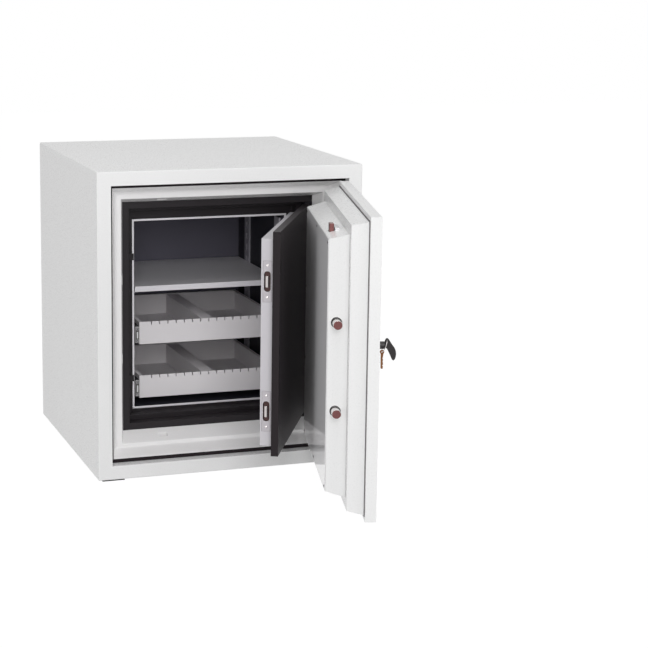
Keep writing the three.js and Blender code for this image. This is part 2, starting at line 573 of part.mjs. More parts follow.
// The round electronic lock: tapered drum, bright ring open at the bottom, glass face, finger guide
function addElectronicLock() {
  const lathe = (profile) => {
    const points = profile.map(([radius, out]) => new THREE.Vector2(radius, out));
    return solid(new THREE.LatheGeometry(points, 48).rotateX(Math.PI).translate(0, FRONT - GAP, LOCK.z));
  };
  const drum = lathe([
    [0, 0], [LOCK.baseRadius, 0], [LOCK.baseRadius, LOCK.shoulder], [LOCK.faceRadius, LOCK.depth],
    [0, LOCK.depth],
  ]);
  piece(outerDoor, 'lock_drum', drum, paint(0x1c1a1b, 0.35));

  const out = FRONT - 2 * GAP - LOCK.depth;
  const outerRadius = LOCK.faceRadius - GAP;
  const innerRadius = outerRadius - LOCK_RING.width;
  const [from, to] = [LOCK_RING.gapToDeg, LOCK_RING.gapFromDeg + 360].map(THREE.MathUtils.degToRad);
  const arc = new THREE.Shape();
  arc.absarc(0, 0, outerRadius, from, to, false);
  arc.absarc(0, 0, innerRadius, to, from, true);
  const upright = (body) => body.translate([0, 0, LOCK.z]);
  piece(outerDoor, 'lock_ring', upright(plateY(arc, out - LOCK_RING.proud, out, 40)), CHROME());

  const faceRadius = innerRadius - GAP;
  piece(outerDoor, 'lock_face', rodY(faceRadius, 0, LOCK.z, out - LOCK_FACE, out, 48), paint(0x0f0e0f, 0.1));

  const half = FINGER_GUIDE.width / 2;
  const low = -faceRadius + FINGER_GUIDE.wall + 1;
  const high = low + FINGER_GUIDE.height;
  const arch = (width, top, bottom) => {
    const shape = new THREE.Shape();
    shape.moveTo(-width, bottom);
    shape.lineTo(width, bottom);
    const round = FINGER_GUIDE.corner;
    shape.lineTo(width, top - round);
    shape.absarc(width - round, top - round, round, 0, Math.PI / 2);
    shape.absarc(round - width, top - round, round, Math.PI / 2, Math.PI);
    return shape;
  };
  const foot = out - LOCK_FACE - GAP;
  const guide = cut(
    plateY(arch(half, high, low), foot - FINGER_GUIDE.proud, foot, 6),
    plateY(arch(half - FINGER_GUIDE.wall, high - FINGER_GUIDE.wall, low - SKIN),
      foot - FINGER_GUIDE.proud - SKIN, foot - 1, 6),
  );
  piece(outerDoor, 'finger_guide', upright(guide), paint(0x161415, 0.3));
}

// The key lock with a key in it, and the ring that carries the spare key
function addKeys() {
  const x = slabEdge + KEYHOLE.fromFreeEdge;
  const z = KEYHOLE.z;
  const face = FRONT - GAP;
  const escutcheon = cut(
    join(
      rodY(ESCUTCHEON.radius, x, z, face - ESCUTCHEON.rose, face, 32),
      rodY(ESCUTCHEON.barrel, x, z, face - ESCUTCHEON.depth, face, 32),
    ),
    rodY(KEY.shaft + GAP, x, z, face - ESCUTCHEON.depth - SKIN, face + SKIN),
  );
  piece(outerDoor, 'key_escutcheon', escutcheon, BLACK());

  // The bow leans down and outwards; its outline is drawn as distance from the door, and height
  const bow = new THREE.Shape();
  bow.moveTo(19, 4);
  bow.lineTo(23.5, 8);
  bow.quadraticCurveTo(22.5, 15, 28, 16);
  bow.lineTo(38, 1);
  bow.quadraticCurveTo(47.5, -9, 47, -20);
  bow.quadraticCurveTo(46, -33, 42, -34);
  bow.quadraticCurveTo(38.5, -35, 36.5, -29);
  bow.lineTo(27, -9);
  bow.quadraticCurveTo(23, -5, 19, -4);
  const head = plateX(bow, x - KEY.bow / 2, x + KEY.bow / 2, 5).translate([0, KEY.bowOut, 0]);
  const eye = rodX(KEY.eye, KEY_RING.topOut, KEY_RING.rise, x - KEY.bow, x + KEY.bow, 12);
  const key = join(
    cut(head, eye).mirror([0, 1, 0]).translate([0, FRONT, z]),
    rodY(KEY.collar, x, z, FRONT - KEY.collarEnd, face - ESCUTCHEON.depth - GAP, 28),
    rodY(KEY.shaft, x, z, FRONT - KEY.collarEnd + 1, FRONT + KEY.insertion, 16),
  );
  piece(outerDoor, 'key', key, paint(0x231f22, 0.4));

  // The ring leans from the eye in the bow to the eye of the spare key
  const lean = Math.atan2(KEY_RING.topOut - KEY_RING.bottomOut, KEY_RING.rise + KEY_RING.drop);
  const radius = Math.hypot(KEY_RING.topOut - KEY_RING.bottomOut, KEY_RING.rise + KEY_RING.drop) / 2;
  const ring = new THREE.TorusGeometry(radius, KEY_RING.wire, 8, 32).rotateX(Math.PI / 2 + lean);
  const middleOut = (KEY_RING.topOut + KEY_RING.bottomOut) / 2;
  ring.translate(x, FRONT - middleOut, z + (KEY_RING.rise - KEY_RING.drop) / 2);
  piece(outerDoor, 'key_ring', solid(ring), CHROME());

  const spare = new THREE.Shape();
  const blade = SPARE_KEY.blade / 2;
  const shoulder = Math.sqrt(SPARE_KEY.eye ** 2 - blade ** 2);
  spare.moveTo(-blade, -SPARE_KEY.length);
  spare.lineTo(blade, -SPARE_KEY.length);
  const fromBlade = Math.atan2(-shoulder, blade);
  spare.absarc(0, 0, SPARE_KEY.eye, fromBlade, Math.atan2(-shoulder, -blade) + 2 * Math.PI);
  const plate = cut(
    plateX(spare, x - SPARE_KEY.thickness / 2, x + SPARE_KEY.thickness / 2, 8),
    rodX(SPARE_KEY.hole, 0, 0, x - SPARE_KEY.thickness, x + SPARE_KEY.thickness, 12),
  );
  piece(outerDoor, 'spare_key', plate.translate([0, FRONT - KEY_RING.bottomOut, z - KEY_RING.drop]),
    paint(0x8a5a3a, 0.35, 0.9));
}

// A barrel hinge outside the cabinet: one half on the border, one on the door, a pin through both
function addOuterHinge(level) {
  const { x, y } = OUTER_AXIS;
  const bottom = level === 'upper'
    ? BODY_TOP - BARREL_FROM_END.upper - BARREL.height
    : BODY_BOTTOM + BARREL_FROM_END.lower;
  const middle = bottom + BARREL.height / 2;
  const top = bottom + BARREL.height;
  const face = FRONT - GAP;
  const web = BARREL.radius - 1;
  const fixed = join(
    rodZ(BARREL.radius, x, y, bottom, middle - GAP),
    box(x, x + web, y, face, bottom, middle - GAP),
    box(x, x + BARREL.fixedReach, face - BARREL.leaf, face, bottom, middle - GAP),
    rodZ(BARREL.pin, x, y, middle - 1, top - BARREL.radius, 16),
  );
  piece(safe, `hinge_fixed_${level}`, fixed, WHITE());
  const doorEdge = HALF - BORDER - DOOR_GAP;
  const moving = cut(
    join(
      rodZ(BARREL.radius, x, y, middle, top),
      box(doorEdge - web, x - 1, y, face, middle, top),
      box(x - BARREL.movingReach, doorEdge, face - BARREL.leaf, face, middle, top),
    ),
    rodZ(BARREL.pin + GAP, x, y, middle - SKIN, top - BARREL.radius + GAP, 16),
  );
  piece(outerDoor, `hinge_moving_${level}`, moving, WHITE());
}

// The inner door: black leaf, white pan, sprung catches, and a pivot plate above and below
function addInnerDoor() {
  const { x, y } = INNER_AXIS;
  const freeEdge = -HALF + LEAF.freeInset;
  const hingeEdge = x - LEAF.hingeGap;
  const pinHole = (from, to) => rodZ(LEAF_HINGE.pin + GAP, x, y, from, to, 16);
  const lug = (from, to) => rodZ(LEAF_HINGE.lug, x, y, from, to, 20);
  const leaf = cut(
    join(
      box(freeEdge, hingeEdge, y, y + LEAF.thickness, LEAF_BOTTOM, LEAF_TOP),
      lug(LEAF_TOP - LEAF_HINGE.lugHeight, LEAF_TOP),
      lug(LEAF_BOTTOM, LEAF_BOTTOM + LEAF_HINGE.lugHeight),
    ),
    pinHole(LEAF_TOP - LEAF_HINGE.lugHeight / 2, LEAF_TOP + SKIN),
    pinHole(LEAF_BOTTOM - SKIN, LEAF_BOTTOM + LEAF_HINGE.lugHeight / 2),
  );
  piece(innerDoor, 'inner_leaf', leaf, BLACK());

  const panFront = y + LEAF.thickness + GAP;
  const panEdge = freeEdge + PAN.margin;
  const pan = box(panEdge, hingeEdge - PAN.hingeMargin, panFront, panFront + PAN.thickness,
    LEAF_BOTTOM + PAN.margin, LEAF_TOP - PAN.margin);
  const catchDepth = panFront + PAN.thickness / 2;
  const recess = (z, depth, width, height) =>
    box(panEdge - SKIN, panEdge + depth, catchDepth - width / 2, catchDepth + width / 2,
      z - height / 2, z + height / 2);
  const recesses = Object.values(CATCH_HEIGHTS).flatMap((z) => [
    recess(z, CATCH.thickness + GAP, CATCH.width + 2 * GAP, CATCH.height + 2 * GAP),
    recess(z, ROLLER.well, CATCH.slotWidth - 2, CATCH.slotHeight - 2),
  ]);
  piece(innerDoor, 'inner_pan', cut(pan, ...recesses), WHITE());

  for (const [level, z] of Object.entries(CATCH_HEIGHTS)) {
    const high = CATCH.height;
    const outside = box(panEdge - 2 * SKIN, panEdge, y - high, y + high, z - high, z + high);
    const plate = cut(
      recess(z, CATCH.thickness, CATCH.width, high).subtract(outside),
      recess(z, 2 * SKIN, CATCH.slotWidth, CATCH.slotHeight - CATCH.slotWidth),
      rodX(CATCH.slotWidth / 2, catchDepth, z + (CATCH.slotHeight - CATCH.slotWidth) / 2,
        panEdge - SKIN, panEdge + 2 * SKIN),
      rodX(CATCH.slotWidth / 2, catchDepth, z - (CATCH.slotHeight - CATCH.slotWidth) / 2,
        panEdge - SKIN, panEdge + 2 * SKIN),
    );
    piece(innerDoor, `catch_plate_${level}`, plate, ALUMINIUM());
    const halfWell = CATCH.slotWidth / 2 - 1 - GAP;
    const tall = CATCH.slotHeight / 2 - 1 - GAP;
    const roller = join(
      rodZ(ROLLER.radius, panEdge - ROLLER.proud + ROLLER.radius, catchDepth,
        z - ROLLER.height / 2, z + ROLLER.height / 2, 20),
      box(panEdge + ROLLER.carrierFrom, panEdge + ROLLER.carrierTo, catchDepth - halfWell,
        catchDepth + halfWell, z - tall, z + tall),
    );
    piece(innerDoor, `catch_roller_${level}`, roller, CHROME());
  }

  // Each pivot plate stands in the frame's pocket, against its hinge wall
  const wall = HALF - LEAF_POCKET.hingeInset - GAP;
  const [, , pocketBottom, pocketTop] = inside(LEAF_POCKET.inset);
  const pivot = (z0, z1, pinFrom, pinTo) => join(
    box(x - 3 * LEAF_HINGE.lug, wall, y - LEAF_HINGE.lug, y + LEAF.thickness, z0, z1),
    rodZ(LEAF_HINGE.pin, x, y, pinFrom, pinTo, 16),
  );
  const pinReach = LEAF_HINGE.lugHeight / 2 - RUN;
  piece(safe, 'pivot_top', pivot(LEAF_TOP + GAP, pocketTop - GAP, LEAF_TOP - pinReach, LEAF_TOP + 1),
    paint(0x77737a, 0.35, 0.8));
  piece(safe, 'pivot_bottom',
    pivot(pocketBottom + GAP, LEAF_BOTTOM - GAP, LEAF_BOTTOM - 1, LEAF_BOTTOM + pinReach),
    paint(0x77737a, 0.35, 0.8));
}

export default safe;
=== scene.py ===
"""Dresses the two-door fireproof data safe: forms, finishes, studio and camera.

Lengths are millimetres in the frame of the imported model, and metres only in Blender's meshes.
"""

from __future__ import annotations

import json
import logging
import math
from dataclasses import dataclass
from enum import Enum
from typing import Callable, Sequence

import bmesh
import bpy
from mathutils import Matrix, Vector

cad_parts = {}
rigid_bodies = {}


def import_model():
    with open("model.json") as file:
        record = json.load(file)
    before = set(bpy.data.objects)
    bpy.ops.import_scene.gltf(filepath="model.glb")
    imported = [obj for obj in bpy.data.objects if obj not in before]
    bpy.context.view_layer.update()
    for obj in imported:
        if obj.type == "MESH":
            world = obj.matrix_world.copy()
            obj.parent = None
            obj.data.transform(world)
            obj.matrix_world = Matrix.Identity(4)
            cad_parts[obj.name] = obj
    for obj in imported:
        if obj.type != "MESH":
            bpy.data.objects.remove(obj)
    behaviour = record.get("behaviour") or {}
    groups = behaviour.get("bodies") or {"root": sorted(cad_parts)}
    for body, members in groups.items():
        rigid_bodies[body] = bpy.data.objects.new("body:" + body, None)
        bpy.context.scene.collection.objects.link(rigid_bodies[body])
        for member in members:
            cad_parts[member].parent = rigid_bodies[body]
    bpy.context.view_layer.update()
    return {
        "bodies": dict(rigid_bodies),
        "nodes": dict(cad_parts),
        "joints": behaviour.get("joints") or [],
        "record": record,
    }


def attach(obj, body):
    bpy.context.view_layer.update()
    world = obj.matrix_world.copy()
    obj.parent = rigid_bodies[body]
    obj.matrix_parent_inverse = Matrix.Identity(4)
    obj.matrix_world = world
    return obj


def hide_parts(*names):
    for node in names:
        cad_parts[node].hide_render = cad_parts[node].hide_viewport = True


LOG = logging.getLogger("safe")
MM = 0.001

Point = tuple[float, float, float]
Flat = tuple[float, float]
Mesh = bpy.types.Mesh
Piece = bpy.types.Object
Work = bmesh.types.BMesh
Tree = bpy.types.NodeTree
Socket = bpy.types.NodeSocket


class Level(Enum):
    """The two heights at which drawers, catches and hinges come."""

    UPPER = "upper"
    LOWER = "lower"


class Side(Enum):
    """Left and right, seen from the front, with the sign of X."""

    LEFT = -1
    RIGHT = 1

    @property
    def word(self) -> str:
        """The side's name in the names of nodes."""
        return self.name.lower()


class Grain(Enum):
    """How a surface was made, as the relief that the eye sees on it."""

    PLAIN = "plain"
    ORANGE_PEEL = "orange peel"
    MOULDED = "moulded"
    BRUSHED_X = "brushed along X"
    BRUSHED_Z = "brushed along Z"


def linear(hex_colour: str) -> tuple[float, float, float, float]:
    """Turns an sRGB hex colour to linear RGBA.

    Args:
        hex_colour: six hex digits.

    Returns:
        The linear colour with full alpha.
    """

    def channel(pair: str) -> float:
        """One channel, from two hex digits."""
        value = int(pair, 16) / 255
        return value / 12.92 if value <= 0.04045 else ((value + 0.055) / 1.055) ** 2.4

    return (*(channel(hex_colour[i : i + 2]) for i in (0, 2, 4)), 1.0)


def add_node(
    tree: Tree, kind: str, settings: dict | None = None, links: dict | None = None
) -> bpy.types.Node:
    """Adds one shader node.

    Args:
        tree: the node tree.
        kind: the node's Blender type.
        settings: values by socket name or index, or by attribute name.
        links: output sockets by the name or index of the input they feed.

    Returns:
        The new node.
    """
    made = tree.nodes.new(kind)
    for key, value in (settings or {}).items():
        if isinstance(key, str) and hasattr(made, key):
            setattr(made, key, value)
        else:
            made.inputs[key].default_value = value
    for key, output in (links or {}).items():
        tree.links.new(output, made.inputs[key])
    return made


@dataclass(frozen=True)
class Finish:
    """One finish: what it is, how it was made and what that gives the eye.

    Colours are sRGB hex. Sizes of patterns are millimetres on the real surface.
    """

    name: str
    colour: str
    roughness: float
    metallic: float = 0.0
    ior: float = 1.5
    specular: float = 0.5
    coat: float = 0.0
    coat_roughness: float = 0.1
    tone: float = 0.04
    tone_mm: float = 90.0
    grain: Grain = Grain.PLAIN
    grain_mm: float = 1.5
    relief_mm: float = 0.0
    rough_spread: float = 0.05
    glow: float = 0.0

    def material(self) -> bpy.types.Material:
        """The finish as a Blender material, made once and then reused."""
        found = bpy.data.materials.get(self.name)
        return found or self._build()

    def _build(self) -> bpy.types.Material:
        """Builds the node tree: tone, roughness and relief over one shader.

        Returns:
            The new material.
        """
        material = bpy.data.materials.new(self.name)
        material.use_nodes = True
        tree = material.node_tree
        tree.nodes.clear()
        place = add_node(tree, "ShaderNodeTexCoord").outputs["Object"]
        clouds = self._noise(tree, place, self.tone_mm, 3.0, 0.55)
        base = linear(self.colour)
        dark, light = ((*(min(1.0, c * (1 + s * self.tone)) for c in base[:3]), 1.0) for s in (-1, 1))
        mixed = {"data_type": "RGBA", 6: dark, 7: light}
        colour = add_node(tree, "ShaderNodeMix", mixed, {0: clouds}).outputs[2]
        grain = self._grain(tree, place)
        low, high = self.roughness - self.rough_spread, self.roughness + self.rough_spread
        ends = {"From Min": 0.3, "From Max": 0.7, "To Min": max(0.02, low), "To Max": min(1.0, high)}
        rough = add_node(tree, "ShaderNodeMapRange", ends, {"Value": grain}).outputs["Result"]
        look = {"Metallic": self.metallic, "IOR": self.ior, "Specular IOR Level": self.specular,
                "Coat Weight": self.coat, "Coat Roughness": self.coat_roughness}
        links = {"Base Color": colour, "Roughness": rough}
        shader = add_node(tree, "ShaderNodeBsdfPrincipled", look, links)
        if self.glow:
            shader.inputs["Emission Color"].default_value = base
            shader.inputs["Emission Strength"].default_value = self.glow
        if self.relief_mm:
            depth = {"Strength": 1.0, "Distance": self.relief_mm * MM}
            bump = add_node(tree, "ShaderNodeBump", depth, {"Height": grain})
            tree.links.new(bump.outputs["Normal"], shader.inputs["Normal"])
        add_node(tree, "ShaderNodeOutputMaterial", {}, {"Surface": shader.outputs["BSDF"]})
        return material

    def _grain(self, tree: Tree, place: Socket) -> Socket:
        """The fine relief of the surface, from 0 to 1.

        Args:
            tree: the node tree.
            place: the coordinates to draw it in.

        Returns:
            The socket with the relief.
        """
        brushed = {Grain.BRUSHED_X: (0.02, 1.0, 1.0), Grain.BRUSHED_Z: (1.0, 1.0, 0.02)}
        stretch = brushed.get(self.grain, (1.0, 1.0, 1.0))
        drawn = add_node(tree, "ShaderNodeMapping", {"Scale": stretch}, {"Vector": place})
        detail = 4.0 if self.grain is Grain.MOULDED else 1.5
        return self._noise(tree, drawn.outputs["Vector"], self.grain_mm, detail, 0.5)

    def _noise(
        self, tree: Tree, place: Socket, size_mm: float, detail: float,
        rough: float
    ) -> Socket:
        """A cloudy pattern of a real size, from 0 to 1.

        Args:
            tree: the node tree.
            place: the coordinates to draw it in.
            size_mm: its real size.
            detail: how many finer layers it has.
            rough: how strong they are.

        Returns:
            The socket with the pattern.
        """
        settings = {"Scale": 1 / (size_mm * MM), "Detail": detail, "Roughness": rough}
        return add_node(tree, "ShaderNodeTexNoise", settings, {"Vector": place}).outputs["Fac"]


# Polyester powder coat on steel, sprayed and baked: a soft gloss over faint orange peel. The peel is
# really finer than 1 mm and is drawn at 2.5 mm so that it shows.
WHITE_COAT = Finish("white_powder_coat", "EDEDED", 0.3, tone=0.012, grain=Grain.ORANGE_PEEL,
                    grain_mm=2.5, relief_mm=0.02)
# The same coat on the rounded fold of the recess, glossier where it flows out thicker; its whiter colour is
# a painted highlight along the fold.
FOLD_HIGHLIGHT_COAT = Finish("white_coat_on_fold", "FBFBFB", 0.18, specular=0.6, coat=0.4, coat_roughness=0.08,
                   tone=0.01)
# ABS, injection moulded: a smooth satin that takes light a little warmer than the paint.
WHITE_ABS = Finish("white_moulded_abs", "F6F5F5", 0.24, tone=0.02, grain=Grain.MOULDED,
                   grain_mm=2.0, relief_mm=0.01)
# ABS dyed black and moulded: satin, with a fine spark texture.
BLACK_ABS = Finish("black_moulded_abs", "221E21", 0.5, specular=0.25, tone=0.12, grain=Grain.MOULDED,
                   grain_mm=1.2, relief_mm=0.02)
# EPDM foam strip, extruded: matt, with a closed skin.
SEAL_RUBBER = Finish("epdm_seal", "231D20", 0.8, specular=0.2, tone=0.1, grain=Grain.MOULDED,
                     grain_mm=1.0, relief_mm=0.05)
# Lip seal of the outer door: grey silicone, thin and matt.
GASKET_GREY = Finish("silicone_lip", "6E6A6D", 0.7, specular=0.3, tone=0.06, grain_mm=1.0)
# Rubber pad under the cabinet, moulded and matt.
FOOT_RUBBER = Finish("rubber_foot", "3A3838", 0.85, specular=0.2, tone=0.1, grain=Grain.MOULDED)
# Steel sheet lining with charcoal powder coat: satin.
CHARCOAL_COAT = Finish("charcoal_powder_coat", "302F37", 0.5, specular=0.3, tone=0.05,
                       grain=Grain.ORANGE_PEEL, grain_mm=2.0, relief_mm=0.02)
# The lining's back sheet, a lighter blue-grey coat.
BACK_COAT = Finish("slate_powder_coat", "6A6875", 0.5, specular=0.3, tone=0.05, grain=Grain.ORANGE_PEEL,
                   grain_mm=2.0, relief_mm=0.02)
# Slotted strip of galvanised steel, rolled: dull and slightly mottled.
UPRIGHT_STEEL = Finish("galvanised_strip", "B9B6BE", 0.42, metallic=0.3, tone=0.1, tone_mm=12.0)
# Aluminium edge, extruded and anodised: satin along its length.
ANODISED = Finish("anodised_aluminium", "F0EEF2", 0.42, metallic=0.2, tone=0.03, grain=Grain.BRUSHED_X,
                  grain_mm=0.8, relief_mm=0.004)
# Shelf of steel sheet with a light grey coat, rolled edge with fine lines along it.
SHELF_COAT = Finish("light_grey_coat", "EEECF0", 0.35, specular=0.45, tone=0.03, grain=Grain.BRUSHED_X,
                    grain_mm=2.2, relief_mm=0.05)
# Drawer of steel sheet with a warm light grey coat: smooth and satin.
DRAWER_COAT = Finish("drawer_grey_coat", "EAE7E9", 0.4, specular=0.4, tone=0.02, grain=Grain.ORANGE_PEEL,
                     grain_mm=2.0, relief_mm=0.015)
# Outer runner rail: black electrophoretic paint on steel, satin.
RAIL_BLACK = Finish("black_rail_paint", "1E1D1F", 0.4, specular=0.4, tone=0.1)
# Middle rail and ball races: steel plated with bright zinc, cool and shiny.
RAIL_ZINC = Finish("bright_zinc", "B9B7BA", 0.32, metallic=0.8, tone=0.06, tone_mm=10.0)
# End stop of a runner: white acetal, moulded, satin.
STOP_WHITE = Finish("white_acetal_stop", "F4F4F4", 0.4, tone=0.02)
# Door cover: steel sheet with a high-gloss grey enamel that mirrors what stands by it.
GLOSS_COVER = Finish("gloss_grey_enamel", "FAF9FB", 0.06, specular=0.3, tone=0.015, rough_spread=0.02)
# Turned steel, nickel plated: it mirrors the white surround.
NICKEL = Finish("bright_nickel", "D9D5D4", 0.16, metallic=1.0, tone=0.03, grain_mm=1.0)
# Bare ends of the bolts: painted reflection, the steel coloured copper brown for the dark surround that a
# bright end mirrors, so it reads as a dark disc.
BOLT_DARK_REFLECTION = Finish("copper_brown_nickel", "744C4B", 0.3, metallic=0.85, tone=0.08, tone_mm=6.0)
# Zinc die-casting with satin chrome: a soft grey mirror.
SATIN_CHROME = Finish("satin_chrome", "BFBEC0", 0.28, metallic=1.0, tone=0.03)
# Trim ring of the lock: nickel with a fine brushed grain, dull and a little warm.
WARM_NICKEL = Finish("brushed_warm_nickel", "A9A196", 0.36, metallic=1.0, tone=0.08, tone_mm=8.0,
                     grain=Grain.BRUSHED_Z, grain_mm=0.5, relief_mm=0.01)
# Blackened screw steel: small dark dots on the white.
DARK_STEEL = Finish("dark_screw_steel", "37343A", 0.4, metallic=0.8, tone=0.08, tone_mm=3.0)
# Painted shade: a satin black on the rings round the bolts, the slot linings and the catch wells, where
# gaps and hollows lie in shadow.
SHADE_BLACK = Finish("black_acetal", "1A1718", 0.45, specular=0.4, tone=0.1)
# Lock housing: glass-filled nylon, moulded black.
NYLON = Finish("black_nylon_housing", "161415", 0.34, specular=0.3, tone=0.15, grain=Grain.MOULDED,
               grain_mm=0.9, relief_mm=0.03)
# Black acrylic, polished: a deep black with a faint clear reflection.
GLASS_FACE = Finish("black_acrylic_face", "0B0A0B", 0.08, specular=0.12, tone=0.1, rough_spread=0.01)
# Light-emitting segments behind the acrylic: red for the display, violet for the touch digits.
DIGIT_RED = Finish("red_segment_light", "D2382C", 0.4, glow=0.5, tone=0.0)
DIGIT_VIOLET = Finish("violet_touch_light", "5C58AE", 0.4, glow=0.3, tone=0.0)
# Grip of the key: polypropylene moulded black, with a slight sheen.
KEY_PLASTIC = Finish("black_key_grip", "191416", 0.3, specular=0.45, tone=0.15, grain=Grain.MOULDED,
                     grain_mm=0.8, relief_mm=0.006)
# Spare key: stamped brass, tarnished in brown patches.
KEY_BRASS = Finish("tarnished_brass", "7C553A", 0.34, metallic=0.9, tone=0.6, tone_mm=4.0)
# Leaf of the inner door: steel sheet with a satin black powder coat.
LEAF_BLACK = Finish("satin_black_coat", "211B1E", 0.42, specular=0.2, tone=0.08, grain=Grain.ORANGE_PEEL,
                    grain_mm=2.0, relief_mm=0.02)
# Tray of the inner door: steel sheet with a soft, slightly violet white coat.
PAN_WHITE = Finish("soft_white_coat", "CFCCD1", 0.45, specular=0.4, tone=0.015, grain=Grain.ORANGE_PEEL,
                   grain_mm=2.5, relief_mm=0.02)
# Catch plate: pressed steel with dull zinc.
CATCH_STEEL = Finish("zinc_catch_plate", "BDB8BD", 0.38, metallic=0.35, tone=0.05, tone_mm=15.0)
# Catch roller: turned steel with bright chrome, a clean streak of light.
CATCH_CHROME = Finish("chrome_roller", "C8C2C1", 0.14, metallic=1.0, tone=0.08, tone_mm=8.0)
# Collar of the catch plate: the same zinc, polished by the press tool.
RIM_STEEL = Finish("polished_zinc_collar", "E4E1E4", 0.26, metallic=0.5, tone=0.03)
# Carrier deep in a catch: steel coloured dark brown, half in shadow; the dark brown is painted shade of the
# deep well.
CARRIER_SHADE = Finish("dark_bronze_carrier", "4A3635", 0.32, metallic=0.7, tone=0.25, tone_mm=7.0)
# Poured mineral insulation: coarse and matt.
FILLING = Finish("cast_insulation", "B9B4A8", 0.9, tone=0.1, grain=Grain.MOULDED, grain_mm=4.0,
                 relief_mm=0.3)


class Bench:
    """Where pieces are made: it holds the frame and hands every piece its body."""

    def __init__(self, frame: dict) -> None:
        """Keeps the loaded frame.
        """
        self.nodes: dict[str, Piece] = frame["nodes"]
        self.slots = {row["node"]: row["material_slot"] for row in frame["record"]["subparts"]}
        bodies = frame["record"]["behaviour"]["bodies"].items()
        self.body = {node: body for body, members in bodies for node in members}

    def dress(self, node: str, finish: Finish) -> None:
        """Gives a CAD node that stays its finish.

        Args:
            node: the CAD node.
            finish: the finish.
        """
        mesh = self.nodes[node].data
        mesh.materials.clear()
        mesh.materials.append(finish.material())

    def add(
        self, name: str, mesh: Mesh, finishes: Finish | Sequence[Finish], node: str,
        swing: Swing | None = None
    ) -> Piece:
        """Turns a mesh into a piece that rides with a node's body.

        Args:
            name: the piece's name.
            mesh: its mesh, in metres.
            finishes: its finish, or the finish of each material index.
            node: the CAD node whose body the piece takes.
            swing: the hinge line of the door that the mesh was drawn on, shut.

        Returns:
            The piece.
        """
        piece = bpy.data.objects.new(name, moved(mesh, swing.matrix()) if swing else mesh)
        bpy.context.scene.collection.objects.link(piece)
        for finish in (finishes,) if isinstance(finishes, Finish) else finishes:
            mesh.materials.append(finish.material())
        piece.modifiers.new("weighted_normals", "WEIGHTED_NORMAL").keep_sharp = True
        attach(piece, self.body[node])
        LOG.info("%s rides on %s", name, self.body[node])
        return piece

    def stand_in(
        self, node: str, mesh: Mesh, finishes: Finish | Sequence[Finish],
        swing: Swing | None = None
    ) -> Piece:
        """Turns a mesh into the piece that stands for a CAD node.

        Args:
            node: the CAD node.
            mesh: the mesh, in metres.
            finishes: its finish, or the finish of each material index.
            swing: the hinge line of the door that the mesh was drawn on, shut.

        Returns:
            The piece.
        """
        piece = self.add(f"{node}_form", mesh, finishes, node, swing)
        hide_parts(node)
        return piece

    def soften(
        self, node: str, finish: Finish, radius: float, segments: int = 3, over_deg: float = 35.0,
        extra: Callable[[Work], None] | None = None, finishes: Sequence[Finish] = ()
    ) -> Piece:
        """Rebuilds a CAD node with rounded edges.

        Args:
            node: the CAD node.
            finish: its finish.
            radius: the edge radius in millimetres.
            segments: faces across each rounded edge.
            over_deg: edges that turn more than this are rounded.
            extra: a last change to the mesh.
            finishes: finishes of further material indices.

        Returns:
            The piece that stands for the node.
        """
        made = bmesh.new()
        made.from_mesh(self.nodes[node].data)
        bmesh.ops.remove_doubles(made, verts=made.verts, dist=0.005 * MM)
        bmesh.ops.dissolve_limit(made, angle_limit=math.radians(0.6), verts=made.verts, edges=made.edges)
        least = math.radians(over_deg)
        edges = [e for e in made.edges if len(e.link_faces) == 2 and e.calc_face_angle(0.0) > least]
        round_edges(made, edges, radius, segments)
        if extra:
            extra(made)
        return self.stand_in(node, finished_mesh(f"{node}_mesh", made), (finish, *finishes))


def finished_mesh(name: str, made: Work, crease_deg: float = 30.0) -> Mesh:
    """Closes a bmesh into a mesh with smooth curves and crisp creases.

    Args:
        name: the mesh's name.
        made: the bmesh, which is freed.
        crease_deg: edges that turn more than this stay crisp.

    Returns:
        The mesh.
    """
    bmesh.ops.recalc_face_normals(made, faces=made.faces)
    bmesh.ops.triangulate(made, faces=[f for f in made.faces if len(f.verts) > 4])
    mesh = bpy.data.meshes.new(name)
    made.to_mesh(mesh)
    made.free()
    mesh.polygons.foreach_set("use_smooth", [True] * len(mesh.polygons))
    mesh.set_sharp_from_angle(angle=math.radians(crease_deg))
    return mesh


def round_edges(
    made: Work, edges: Sequence[bmesh.types.BMEdge], radius: float, segments: int
) -> None:
    """Rounds edges of a bmesh.

    Args:
        made: the bmesh.
        edges: the edges.
        radius: their radius.
        segments: faces across each.
    """
    bmesh.ops.bevel(made, geom=edges, offset=radius * MM, offset_type="OFFSET", segments=segments,
                    profile=0.5, affect="EDGES", clamp_overlap=True)


def bridge(made: Work, loops: Sequence[Sequence[Point]], closed: bool = True) -> None:
    """Joins loops of points with faces.

    Args:
        made: the bmesh that takes them.
        loops: the loops in millimetres, each with as many points.
        closed: whether the last loop joins the first; if not, each end gets a face.
    """
    rings = [[made.verts.new(Vector(spot) * MM) for spot in loop] for loop in loops]
    count = len(rings[0])
    if not closed:
        made.faces.new(rings[0])
        made.faces.new(rings[-1][::-1])
    for low, high in zip(rings, rings[1:] + (rings[:1] if closed else [])):
        for k in range(count):
            made.faces.new([low[k], low[(k + 1) % count], high[(k + 1) % count], high[k]])


def skin_of(name: str, loops: Sequence[Sequence[Point]], closed: bool = True) -> Mesh:
    """Joins loops of points into a finished mesh.

    Args:
        name: the mesh's name.
        loops: the loops in millimetres.
        closed: whether the last loop joins the first.

    Returns:
        The closed mesh.
    """
    made = bmesh.new()
    bridge(made, loops, closed)
    return finished_mesh(name, made)


def moved(mesh: Mesh, place: Matrix) -> Mesh:
    """Moves a mesh by a matrix in metres and gives it back."""
    mesh.transform(place)
    return mesh


